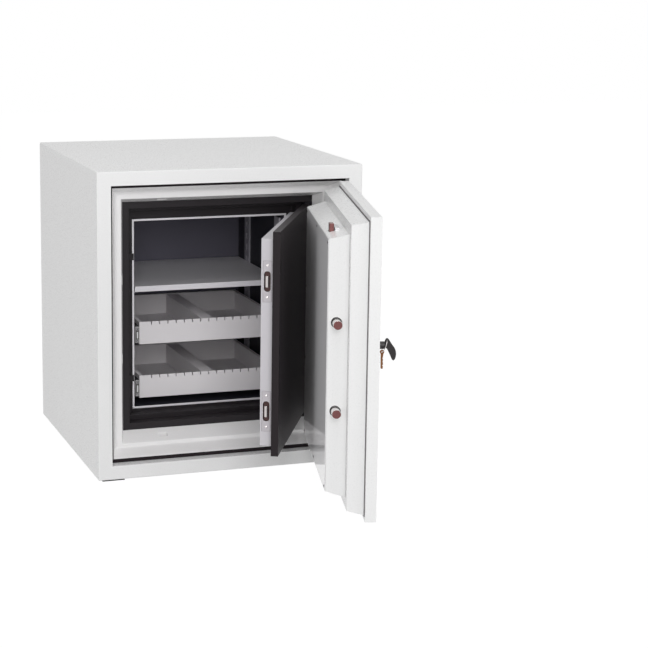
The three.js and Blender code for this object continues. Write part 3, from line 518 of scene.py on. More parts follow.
def lathe(name: str, profile: Sequence[Flat], sides: int, along: Point, at: Point) -> Mesh:
    """Turns a profile round an axis.

    Args:
        name: the mesh's name.
        profile: radius and distance along the axis, from one end to the other.
        sides: steps round the axis.
        along: the axis.
        at: the axis's origin.

    Returns:
        The closed mesh.
    """
    made = bmesh.new()
    turns = [math.tau * k / sides for k in range(sides)]
    rings = [
        [made.verts.new(Vector((radius * math.cos(t), radius * math.sin(t), height)) * MM)
         for t in (turns if radius else turns[:1])]
        for radius, height in profile
    ]
    for low, high in zip(rings, rings[1:]):
        for k in range(sides):
            spots = ((low, k), (low, k + 1), (high, k + 1), (high, k))
            corners = list(dict.fromkeys(ring[step % len(ring)] for ring, step in spots))
            if len(corners) > 2:
                made.faces.new(corners)
    turn = Vector((0, 0, 1)).rotation_difference(Vector(along)).to_matrix().to_4x4()
    made.transform(Matrix.Translation(Vector(at) * MM) @ turn)
    return finished_mesh(name, made)


def slab_of(
    name: str, outline: Sequence[Flat], low: float, high: float, radius: float = 0.0, segments: int = 3
) -> Mesh:
    """Carries an outline in x and z from one depth to another, with rounded rims.

    Args:
        name: the mesh's name.
        outline: its corners, in order.
        low: the nearer depth.
        high: the farther depth.
        radius: the radius of the rims.
        segments: faces across each rim.

    Returns:
        The closed mesh.
    """
    made = bmesh.new()
    bridge(made, [[(x, depth, z) for x, z in outline] for depth in (low, high)], closed=False)
    if radius:
        rims = [e for e in made.edges if abs(e.verts[0].co.y - e.verts[1].co.y) < 1e-9]
        round_edges(made, rims, radius, segments)
    return finished_mesh(name, made)


def smooth_outline(points: Sequence[Flat], steps: int = 5) -> list[Flat]:
    """Draws a smooth closed curve through points.

    Args:
        points: the points that it passes, in order.
        steps: parts between two points.

    Returns:
        The curve's points.
    """
    curve: list[Flat] = []
    count = len(points)
    for k in range(count):
        a, b, c, d = (Vector(points[(k + step) % count]) for step in (-1, 0, 1, 2))
        slope, bend, twist = (c - a) / 2, a - 2.5 * b + 2 * c - d / 2, 1.5 * (b - c) + (d - a) / 2
        for step in range(steps):
            t = step / steps
            curve.append(tuple(b + slope * t + bend * t**2 + twist * t**3))
    return curve


def pillow_of(
    name: str, outline: Sequence[Flat], low: float, high: float, radius: float, segments: int = 5
) -> Mesh:
    """Carries a smooth outline in x and z from one depth to another and rounds it all round.

    Args:
        name: the mesh's name.
        outline: its points, in order.
        low: the nearer depth.
        high: the farther depth.
        radius: the radius of the rims.
        segments: faces across each rim.

    Returns:
        The closed mesh.
    """
    count = len(outline)
    area = sum(Vector(outline[k - 1]).cross(Vector(outline[k])) for k in range(count))
    turn = math.copysign(1.0, area)
    inward = []
    for k in range(count):
        along = Vector(outline[(k + 1) % count]) - Vector(outline[k - 1])
        inward.append(Vector((-along.y, along.x)).normalized() * turn)
    rims = [math.pi / 2 * k / segments for k in range(segments + 1)]
    levels = [(radius * (1 - math.sin(t)), low + radius * (1 - math.cos(t))) for t in rims]
    levels += [(radius * (1 - math.sin(t)), high - radius * (1 - math.cos(t))) for t in rims[::-1]]
    loops = [
        [(x + n.x * inset, depth, z + n.y * inset) for (x, z), n in zip(outline, inward)]
        for inset, depth in levels
    ]
    return skin_of(name, loops, closed=False)


def block_of(name: str, low: Point, high: Point, radius: float = 0.0, segments: int = 3) -> Mesh:
    """Makes a block with every edge rounded.

    Args:
        name: the mesh's name.
        low: the corner with the least x, y and z.
        high: the opposite corner.
        radius: the radius of the edges.
        segments: faces across each edge.

    Returns:
        The closed mesh.
    """
    made = bmesh.new()
    bmesh.ops.create_cube(made, size=1.0)
    size = Vector(high) - Vector(low)
    middle = (Vector(high) + Vector(low)) / 2
    made.transform(Matrix.Translation(middle * MM) @ Matrix.Diagonal((*(size * MM), 1.0)))
    if radius:
        round_edges(made, list(made.edges), radius, segments)
    return finished_mesh(name, made)


def rounded_outline(corners: Sequence[tuple[float, float, float]], steps: int = 6) -> list[Flat]:
    """Rounds the corners of a closed outline.

    Args:
        corners: x, y and radius of each corner, in order.
        steps: steps round each corner.

    Returns:
        The outline's points.
    """
    points: list[Flat] = []
    count = len(corners)
    for k, (x, y, radius) in enumerate(corners):
        here = Vector((x, y))
        if radius <= 0:
            points.append((x, y))
            continue
        before = (Vector(corners[k - 1][:2]) - here).normalized()
        after = (Vector(corners[(k + 1) % count][:2]) - here).normalized()
        half = before.angle(after) / 2
        reach = radius / math.tan(half)
        start, end = here + before * reach, here + after * reach
        centre = here + (before + after).normalized() * (radius / math.sin(half))
        first = math.atan2(start.y - centre.y, start.x - centre.x)
        sweep = math.atan2(end.y - centre.y, end.x - centre.x) - first
        sweep = (sweep + math.pi) % (2 * math.pi) - math.pi
        for step in range(steps + 1):
            angle = first + sweep * step / steps
            points.append((centre.x + radius * math.cos(angle), centre.y + radius * math.sin(angle)))
    return points


def ring_of(
    name: str, profile: Sequence[Flat], outside: Sequence[float], bottom: Sequence[Flat] | None = None
) -> Mesh:
    """Carries a closed profile round an upright rectangle.

    Args:
        name: the mesh's name.
        profile: inset from the rectangle and depth of each point, in order.
        outside: the rectangle's x0, x1, z0, z1.
        bottom: the same points along the bottom, where they differ.

    Returns:
        The closed mesh.
    """
    x0, x1, z0, z1 = outside
    loops = []
    for (side, depth), (low, low_depth) in zip(profile, bottom or profile):
        loops.append([(x0 + side, low_depth, z0 + low), (x1 - side, low_depth, z0 + low),
                      (x1 - side, depth, z1 - side), (x0 + side, depth, z1 - side)])
    return skin_of(name, loops)


def cut_away(piece: Piece, tools: Sequence[Mesh]) -> None:
    """Cuts closed meshes out of a piece and bakes the result into its mesh.

    Args:
        piece: the piece, which is changed.
        tools: the meshes that are cut out of it.
    """
    for number, tool_mesh in enumerate(tools):
        tool = bpy.data.objects.new(f"cutter_{number}", tool_mesh)
        bpy.context.scene.collection.objects.link(tool)
        piece.modifiers.clear()
        modifier = piece.modifiers.new("cut", "BOOLEAN")
        modifier.operation, modifier.solver, modifier.object = "DIFFERENCE", "EXACT", tool
        modifier.use_self = True
        graph = bpy.context.evaluated_depsgraph_get()
        graph.update()
        result = bpy.data.meshes.new_from_object(piece.evaluated_get(graph))
        old = piece.data
        piece.modifiers.clear()
        piece.data = result
        result.name = old.name + "_cut"
        bpy.data.objects.remove(tool)
    piece.data.set_sharp_from_angle(angle=math.radians(30))
    piece.modifiers.new("weighted_normals", "WEIGHTED_NORMAL").keep_sharp = True


def screw_head(name: str, at: Point, out: Point, radius: float, height: float) -> Mesh:
    """A domed screw head with a cross recess.

    Args:
        name: the mesh's name.
        at: the middle of its seat.
        out: the direction that it faces.
        radius: the head's radius.
        height: the dome's height.

    Returns:
        The closed mesh.
    """
    profile = [(0, -0.2), (radius, -0.2), (radius, 0.15 * height), (0.86 * radius, 0.62 * height),
               (0.55 * radius, 0.92 * height), (0.42 * radius, height), (0.36 * radius, 0.35 * height),
               (0, 0.3 * height)]
    return lathe(name, profile, 20, out, at)


@dataclass(frozen=True)
class Lamp:
    """One soft lamp: a square panel aimed at a point."""

    name: str
    at: Point
    power: float
    size: float
    aim: Point = (0.0, -200.0, 380.0)

    def build(self) -> None:
        """Makes the lamp."""
        data = bpy.data.lights.new(self.name, "AREA")
        data.energy, data.size = self.power, self.size * MM
        lamp = bpy.data.objects.new(self.name, data)
        lamp.location = Vector(self.at) * MM
        lamp.rotation_mode = "QUATERNION"
        lamp.rotation_quaternion = (Vector(self.aim) - Vector(self.at)).to_track_quat("-Z", "Y")
        bpy.context.scene.collection.objects.link(lamp)


@dataclass
class Studio:
    """Floor, light and camera."""

    floor_half: float = 9000.0
    lens_px: float = 1804.82
    frame_px: float = 648.0
    sensor_mm: float = 36.0
    eye: Point = (-1292.34, -4397.53, 1275.38)
    yaw_deg: float = 18.903
    pitch_deg: float = 10.313
    roll_deg: float = -0.59
    shift: Flat = (0.08, -0.08105)
    clip_m: Flat = (0.05, 60.0)
    sky: float = 0.36
    floor_glow: float = 0.9
    floor_bounce: float = 0.16
    floor_matt: float = 0.62
    floor_white: float = 1.09
    lamps: tuple[Lamp, ...] = (
        Lamp("front_lamp", (-1000.0, -5100.0, 2200.0), 95.0, 2600.0),
        Lamp("right_lamp", (2900.0, -4300.0, 1600.0), 32.0, 2200.0),
        Lamp("top_lamp", (-200.0, -1800.0, 4100.0), 30.0, 2600.0),
        Lamp("side_lamp", (-4700.0, -1300.0, 1100.0), 28.0, 1600.0),
    )

    def build(self) -> None:
        """Makes the whole studio."""
        scene = bpy.context.scene
        scene.view_settings.view_transform = "Standard"
        self._camera()
        self._world()
        self._floor()
        for lamp in self.lamps:
            lamp.build()

    def _camera(self) -> None:
        """Sets the camera at the photograph's viewing angle."""
        data = bpy.data.cameras.new("camera")
        data.sensor_width = self.sensor_mm
        data.lens = self.lens_px / self.frame_px * self.sensor_mm
        data.shift_x, data.shift_y = self.shift
        data.clip_start, data.clip_end = self.clip_m
        yaw, pitch, roll = (math.radians(a) for a in (self.yaw_deg, self.pitch_deg, self.roll_deg))
        ahead = Vector((math.sin(yaw) * math.cos(pitch), math.cos(yaw) * math.cos(pitch), -math.sin(pitch)))
        level = Vector((math.cos(yaw), -math.sin(yaw), 0.0))
        down = ahead.cross(level)
        across = math.cos(roll) * level + math.sin(roll) * down
        up = math.sin(roll) * level - math.cos(roll) * down
        camera = bpy.data.objects.new("camera", data)
        turn = Matrix((across, up, -ahead)).transposed().to_4x4()
        camera.matrix_world = Matrix.Translation(Vector(self.eye) * MM) @ turn
        bpy.context.scene.collection.objects.link(camera)
        bpy.context.scene.camera = camera

    def _world(self) -> None:
        """A plain white surround: full white to the eye and in reflections, softer as light."""
        world = bpy.data.worlds.new("studio_world")
        world.use_nodes = True
        tree = world.node_tree
        tree.nodes.clear()
        seen = _seen_ray(tree)
        ends = {"To Min": self.sky, "To Max": 1.0}
        strength = add_node(tree, "ShaderNodeMapRange", ends, {"Value": seen}).outputs["Result"]
        glow = add_node(tree, "ShaderNodeBackground", {"Color": (1, 1, 1, 1)}, {"Strength": strength})
        add_node(tree, "ShaderNodeOutputWorld", {}, {"Surface": glow.outputs["Background"]})
        bpy.context.scene.world = world

    def _floor(self) -> None:
        """A pale floor that melts into the white and keeps a faint shadow."""
        half = self.floor_half * MM
        made = bmesh.new()
        made.faces.new([made.verts.new((x, y, 0)) for x, y in
                        ((-half, -half), (half, -half), (half, half), (-half, half))])
        mesh = finished_mesh("floor", made)
        floor = bpy.data.objects.new("floor", mesh)
        bpy.context.scene.collection.objects.link(floor)
        material = bpy.data.materials.new("pale_floor")
        material.use_nodes = True
        tree = material.node_tree
        tree.nodes.clear()
        seen = _seen_ray(tree)
        ends = {"To Min": self.floor_bounce, "To Max": self.floor_glow}
        share = add_node(tree, "ShaderNodeMapRange", ends, {"Value": seen}).outputs["Result"]
        grey = {"Color": (*[self.floor_matt] * 3, 1)}
        matt = add_node(tree, "ShaderNodeBsdfDiffuse", grey).outputs["BSDF"]
        white = {"Color": (1, 1, 1, 1), "Strength": self.floor_white}
        bright = add_node(tree, "ShaderNodeEmission", white).outputs["Emission"]
        both = add_node(tree, "ShaderNodeMixShader", {}, {0: share, 1: matt, 2: bright})
        add_node(tree, "ShaderNodeOutputMaterial", {}, {"Surface": both.outputs["Shader"]})
        mesh.materials.append(material)


def _seen_ray(tree: Tree) -> Socket:
    """Tells rays from the eye, in reflections and through glass from the rest.

    Args:
        tree: the node tree.

    Returns:
        The socket with 1 for such a ray, else 0.
    """
    path = add_node(tree, "ShaderNodeLightPath").outputs
    seen = path["Is Camera Ray"]
    for kind in ("Is Glossy Ray", "Is Transmission Ray"):
        links = {0: seen, 1: path[kind]}
        seen = add_node(tree, "ShaderNodeMath", {"operation": "MAXIMUM"}, links).outputs["Value"]
    return seen


@dataclass(frozen=True)
class Body:
    """The cabinet's outline, which the other classes measure from."""

    width: float = 664.0
    depth: float = 655.0
    height: float = 745.0
    lift: float = 3.0

    @property
    def front(self) -> float:
        """The front plane."""
        return -self.depth / 2

    @property
    def top(self) -> float:
        """The top plane."""
        return self.lift + self.height

    @property
    def outline(self) -> tuple[float, float, float, float]:
        """The outline as x0, x1, z0, z1."""
        return -self.width / 2, self.width / 2, self.lift, self.top


@dataclass(frozen=True)
class Swing:
    """A hinge line and how far its door stands open."""

    x: float
    y: float
    open_deg: float

    def matrix(self) -> Matrix:
        """The matrix that swings a shut door open, in metres."""
        there = Matrix.Translation(Vector((self.x, self.y, 0)) * MM)
        return there @ Matrix.Rotation(math.radians(self.open_deg), 4, "Z") @ there.inverted()

    def turned(self, direction: Point) -> Point:
        """A direction of the shut door, turned with it."""
        return tuple(self.matrix().to_3x3() @ Vector(direction))


OUTER = Swing(306.0, -341.5, 75.6)
INNER = Swing(237.0, -214.5, 61.8)
BOLT_HEIGHTS = (277.5, 473.5)


@dataclass
class Cabinet:
    """The white box with its border, seal, moulded frames and feet."""

    bench: Bench
    body: Body = Body()
    edge: float = 3.2
    border: float = 34.0
    border_depth: float = 29.0
    hem: float = 2.2
    seal: float = 10.0
    wide_ledge: float = 9.0
    feet: tuple[str, ...] = ("front_left", "front_right", "rear_left", "rear_right")

    def build(self) -> None:
        """Makes the cabinet's pieces."""
        self._shell()
        self._seal()
        self._stepped_frame()
        self.bench.soften("inner_frame", BLACK_ABS, 1.0, 2)
        self.bench.dress("fire_filling", FILLING)
        for corner in self.feet:
            self.bench.soften(f"foot_{corner}", FOOT_RUBBER, 0.8, 2)
        for end in ("top", "bottom"):
            self.bench.soften(f"pivot_{end}", DARK_STEEL, 0.5, 2)

    def _shell(self) -> None:
        """The folded skin: a rounded box with the door recess and a pressed base."""
        x0, x1, z0, z1 = self.body.outline
        front = self.body.front
        mesh = block_of("shell_mesh", (x0, front, z0), (x1, -front, z1), self.edge, 5)
        piece = self.bench.stand_in("outer_shell", mesh, WHITE_COAT)
        opening = [(x0 + self.border, z0 + self.border), (x1 - self.border, z0 + self.border),
                   (x1 - self.border, z1 - self.border), (x0 + self.border, z1 - self.border)]
        inner = 3.0
        cavity = block_of("cavity", (x0 + inner, front + self.border_depth, z0 + inner),
                          (x1 - inner, -front - inner, z1 - inner))
        mouth = slab_of("mouth", opening, front - 5, front + self.border_depth + 5)
        cut_away(piece, (cavity, mouth))
        self._hem()
        margin, proud = 75.0, 1.0
        panel = block_of("base_panel_mesh", (x0 + margin, front + margin, z0 - proud),
                         (x1 - margin, -front - margin, z0 + 0.4), 0.9, 3)
        self.bench.add("base_panel", panel, WHITE_COAT, "outer_shell")

    def _hem(self) -> None:
        """The rounded fold that runs round the door recess, in the whiter coat that paints a highlight
        along it.
        """
        front, hem = self.body.front, self.hem
        profile = [(self.border - hem, front + 0.02)]
        for k in range(7):
            angle = math.pi / 2 * k / 6
            profile.append((self.border - hem + (hem + 0.12) * math.sin(angle),
                            front - 0.06 + hem - hem * math.cos(angle)))
        profile += [(self.border + 0.12, front + 6.0), (self.border - hem, front + 6.0)]
        mesh = ring_of("hem_mesh", profile, self.body.outline)
        self.bench.add("recess_hem", mesh, FOLD_HIGHLIGHT_COAT, "outer_shell")

    def _seal(self) -> None:
        """The soft strip at the bottom of the recess, crowned across its width."""
        face = self.body.front + 26.0
        low, high = self.border + 0.3, self.border + self.seal - 0.3
        base, side, shoulder, crown = face + 3.0, face + 1.4, face + 0.5, 0.5
        left, right = low + 0.9, high - 0.9
        profile = [(low, base), (low, side), (left, shoulder)]
        for k in range(1, 6):
            share = k / 6
            profile.append((left + (right - left) * share, shoulder - crown * math.sin(math.pi * share)))
        profile += [(right, shoulder), (high, side), (high, base)]
        self.bench.stand_in("door_seal", ring_of("seal_mesh", profile, self.body.outline), SEAL_RUBBER)

    def _stepped_frame(self) -> None:
        """The moulded frame: two coved steps with rounded arrises, and pockets for the bolts."""
        front, extra = self.body.front, self.wide_ledge
        ledge = front + 71.0

        def profile(mouth: float, cove: float) -> list[Flat]:
            """Draws the frame's section, from the lip to the flange.

            Args:
                mouth: the arris's inset.
                cove: the radius between lip and ledge.

            Returns:
                The section's points.
            """
            return rounded_outline([
                (44.0, front + 27.0, 1.6), (59.0, ledge, cove), (mouth, ledge, 2.6),
                (89.0, front + 113.0, 1.2), (89.0, front + 113.2, 0.0), (36.0, front + 113.2, 0.0),
                (36.0, front + 29.3, 0.0), (43.0, front + 29.3, 0.0), (43.0, front + 27.0, 0.0),
            ], 6)

        upper, bottom = profile(67.0 + extra, 13.5), profile(67.0, 7.5)
        mesh = ring_of("stepped_mesh", upper, self.body.outline, bottom)
        piece = self.bench.stand_in("stepped_frame", mesh, WHITE_ABS)
        bolt_y, reach = front + 88.0, 13.0
        cutters = [
            block_of("pocket", (-273.6, bolt_y - reach, z - reach), (0.0, bolt_y + reach, z + reach))
            for z in BOLT_HEIGHTS
        ]
        end_y, deep = front + 92.0, 6.5
        x0, x1, z0, z1 = -161.5, -136.5, 71.5, 679.5
        cutters.append(block_of("end_pocket", (x0, end_y - deep, z0), (x1, end_y + deep, z1)))
        cut_away(piece, cutters)


@dataclass
class Chamber:
    """The lined media chamber with its bright edge, uprights and shelf."""

    bench: Bench
    nose_front: float = -132.9
    nose_half: float = 190.6
    shelf_top: float = 434.5
    shelf_thick: float = 14.0
    nose_radius: float = 0.9
    groove: float = 0.35

    def build(self) -> None:
        """Makes the chamber's pieces."""
        self.bench.soften("liner_sides", CHARCOAL_COAT, 0.4, 2)
        self.bench.dress("liner_back", BACK_COAT)
        self.bench.soften("chamber_trim", ANODISED, 0.9, 3)
        for side in Side:
            for end in ("front", "rear"):
                self.bench.soften(f"upright_{end}_{side.word}", UPRIGHT_STEEL, 0.5, 2)
        self.bench.soften("shelf", SHELF_COAT, 0.6, 2)
        self._shelf_nose()

    def _shelf_nose(self) -> None:
        """The rolled front edge of the shelf, with two fine grooves along it."""
        front, top = self.nose_front, self.shelf_top
        low = top - self.shelf_thick
        proud, sunk, radius = front - self.groove, front + self.groove, self.nose_radius
        outline = rounded_outline([
            (front + radius, low + 0.05, 0.0), (proud, low + 0.05, radius),
            (proud, low + 4.4, 0.0), (sunk, low + 4.8, 0.0), (proud, low + 5.2, 0.0),
            (proud, top - 4.6, 0.0), (sunk, top - 4.2, 0.0), (proud, top - 3.8, 0.0),
            (proud, top - 0.05, radius), (front + radius, top - 0.05, 0.0),
        ], 4)
        loops = [[(x, y, z) for y, z in outline] for x in (-self.nose_half, self.nose_half)]
        mesh = skin_of("shelf_nose_mesh", loops, closed=False)
        self.bench.add("shelf_nose", mesh, SHELF_COAT, "shelf")


@dataclass
class Drawer:
    """A slotted drawer with its divider and runners."""

    bench: Bench
    level: Level
    floor: float
    rail_start: float = -131.4
    rail_low: float = 2.0
    bar: tuple[float, float] = (181.3, 187.9)

    def build(self) -> None:
        """Makes the drawer and what carries it."""
        word = self.level.value
        self.bench.soften(f"drawer_{word}", DRAWER_COAT, 0.6, 3)
        self.bench.soften(f"divider_{word}", DRAWER_COAT, 0.6, 2)
        for side in Side:
            self.bench.soften(f"runner_fixed_{word}_{side.word}", RAIL_BLACK, 0.3, 2)
            self.bench.soften(f"runner_middle_{word}_{side.word}", RAIL_ZINC, 0.3, 2)
            self._runner_end(side)

    def _runner_end(self, side: Side) -> None:
        """Makes what shows at a runner's mouth: a black cap, a white stop and the ends of two ball races.

        Args:
            side: the drawer's side.
        """
        word, sign = self.level.value, side.value
        start, low = self.rail_start, self.floor + self.rail_low
        inner, outer = (sign * x for x in self.bar)

        def block(name: str, xs: Flat, ys: Flat, zs: Flat, finish: Finish, radius: float) -> None:
            """Places one small block on the drawer.

            Args:
                name: the block's name.
                xs: its two sides.
                ys: its front and back.
                zs: its bottom and top.
                finish: its finish.
                radius: the radius of its edges.
            """
            near, far = zip(sorted(xs), ys, zs)
            mesh = block_of(f"{name}_mesh", near, far, radius, 2)
            self.bench.add(f"{name}_{word}_{side.word}", mesh, finish, f"drawer_{word}")

        block("runner_cap", (inner, outer), (start - 1.0, start + 0.2), (low + 4.9, low + 40.1),
              RAIL_BLACK, 0.3)
        block("runner_stop", (inner + sign * 2.0, outer - sign * 1.2), (start - 2.2, start - 0.9),
              (low + 13.2, low + 30.2), STOP_WHITE, 0.5)
        ring = [(1.5, 0.0), (3.0, 0.0), (3.0, 1.1), (2.6, 1.5), (1.9, 1.5), (1.5, 1.1), (1.5, 0.0)]
        for number, (x, z) in enumerate(((184.9, low + 8.6), (185.3, low + 36.4))):
            mesh = lathe(f"race_mesh_{number}", ring, 20, (0, -1, 0), (sign * x, start - 1.0, z))
            self.bench.add(f"ball_race_{word}_{side.word}_{number}", mesh, RAIL_ZINC, f"drawer_{word}")


@dataclass
class OuterDoor:
    """The thick outer door with its stepped plug and glossy cover."""

    bench: Bench
    body: Body = Body()
    swing: Swing = OUTER

    def build(self) -> None:
        """Makes the door's pieces."""
        self.bench.soften("door_slab", WHITE_COAT, 3.4, 5)
        self._gasket()
        self.bench.soften("plug_outer", WHITE_COAT, 3.6, 5)
        self.bench.soften("plug_inner", WHITE_COAT, 2.4, 4)
        self.bench.soften("plug_cover", GLOSS_COVER, 0.5, 2)
        for level in Level:
            self.bench.soften(f"hinge_moving_{level.value}", WHITE_COAT, 0.8, 3)
            self.bench.soften(f"hinge_fixed_{level.value}", WHITE_COAT, 0.8, 3)
        self._cover_screws()

    def _gasket(self) -> None:
        """The slim lip seal at the root of the plug."""
        outer, inner, face = 47.6, 49.8, self.body.front + 24.7
        profile = [(outer, face), (outer + 0.2, face + 1.0), (outer + 0.9, face + 1.6),
                   (inner, face + 1.7), (inner, face)]
        mesh = ring_of("gasket_mesh", profile, self.body.outline)
        self.bench.stand_in("door_gasket", mesh, GASKET_GREY, self.swing)

    def _cover_screws(self) -> None:
        """Screws round the edge of the cover."""
        seat = self.body.front + 108.2
        out = self.swing.turned((0, 1, 0))
        half_x, low, high = 228.0, 105.0, 646.0
        spots = [(x, z) for x in (-half_x, 0.0, half_x) for z in (low, high)]
        spots += [(half_x, z) for z in (290.0, 465.0)]
        for number, (x, z) in enumerate(spots):
            at = self.swing.matrix() @ (Vector((x, seat, z)) * MM)
            mesh = screw_head(f"cover_screw_mesh_{number}", tuple(at / MM), out, 3.2, 0.9)
            self.bench.add(f"cover_screw_{number}", mesh, DARK_STEEL, "plug_cover")


@dataclass
class Boltwork:
    """Bolts and lever, with the black rings and slot linings round the bolts, which paint the shade in
    their gaps.
    """

    bench: Bench
    swing: Swing = OUTER
    bolt_y: float = -239.5
    plug_side: float = -244.1
    draft_deg: float = 14.22
    flat_x: Flat = (-160.0, -138.0)
    flat_y: float = -235.5
    flat_half: float = 5.0
    plug_top: float = 659.1
    plug_bottom: float = 91.9

    def build(self) -> None:
        """Makes the bolts and the lever."""
        end = Vector(self.swing.turned((-1, 0, 0)))

        def dark_ends(made: Work) -> None:
            """Gives the faces that look out of the door the copper brown finish, a painted dark reflection.

            Args:
                made: the bolts' mesh.
            """
            made.normal_update()
            for face in made.faces:
                if face.normal.dot(end) > 0.98:
                    face.material_index = 1

        self.bench.soften("bolt_bar", NICKEL, 0.8, 3, extra=dark_ends, finishes=(BOLT_DARK_REFLECTION,))
        # The flat bolts take the copper brown painted reflection all over.
        self.bench.soften("bolt_top", BOLT_DARK_REFLECTION, 0.8, 2)
        self.bench.soften("bolt_bottom", BOLT_DARK_REFLECTION, 0.8, 2)
        self.bench.soften("lever_handle", SATIN_CHROME, 2.2, 4)
        for number, z in enumerate(BOLT_HEIGHTS):
            self._bush(number, z)
        self._slot_rim("top", 1)
        self._slot_rim("bottom", -1)
        self._lug_cap()

    def _bush(self, number: int, z: float) -> None:
        """Makes the black ring round a round bolt, flush with the sloping side of the plug: painted shadow
        of the gap that the bolt runs through.

        Args:
            number: the bolt's number, from below.
            z: the bolt's height.
        """
        tilt = math.radians(self.draft_deg)
        out = Vector((-math.cos(tilt), math.sin(tilt), 0.0))
        at = Vector((self.plug_side, self.bolt_y, z)) + out * 0.05
        profile = [(10.5, -2.5), (12.3, -2.5), (12.3, 0.15), (12.0, 0.4), (11.0, 0.45), (10.6, 0.2),
                   (10.5, 0.0), (10.5, -2.5)]
        mesh = lathe(f"bush_mesh_{number}", profile, 48, tuple(out), tuple(at))
        self.bench.add(f"bolt_bush_{number}", mesh, SHADE_BLACK, "plug_inner", self.swing)

    def _slot_rim(self, end: str, sign: int) -> None:
        """The black lining of the slot that a flat bolt comes through: painted shade in the slot's walls.

        Args:
            end: top or bottom.
            sign: 1 where the bolt points up.
        """
        x0, x1 = self.flat_x
        half, wall, deep = self.flat_half, 1.1, 3.0
        middle = self.plug_top if sign > 0 else self.plug_bottom
        slope = math.tan(math.radians(self.draft_deg))
        loops = []
        for grow, height in ((0.25, -deep), (0.25, 0.35), (wall, 0.35), (wall + 0.15, -deep)):
            spots = [(x0 - grow, -half - grow), (x1 + grow, -half - grow), (x1 + grow, half + grow),
                     (x0 - grow, half + grow)]
            loops.append([(x, self.flat_y + y, middle + sign * (height - y * slope)) for x, y in spots])
        mesh = skin_of(f"slot_rim_mesh_{end}", loops)
        self.bench.add(f"slot_rim_{end}", mesh, SHADE_BLACK, "plug_inner", self.swing)

    def _lug_cap(self) -> None:
        """The bright cap over the lug beside the top bolt."""
        x0, x1 = self.flat_x[0] - 0.3, self.flat_x[0] + 50.3
        mesh = block_of("lug_cap_mesh", (x0, -252.8, 655.0), (x1, -242.2, 667.0), 0.9, 3)
        self.bench.add("lug_cap", mesh, SATIN_CHROME, "plug_inner", self.swing)


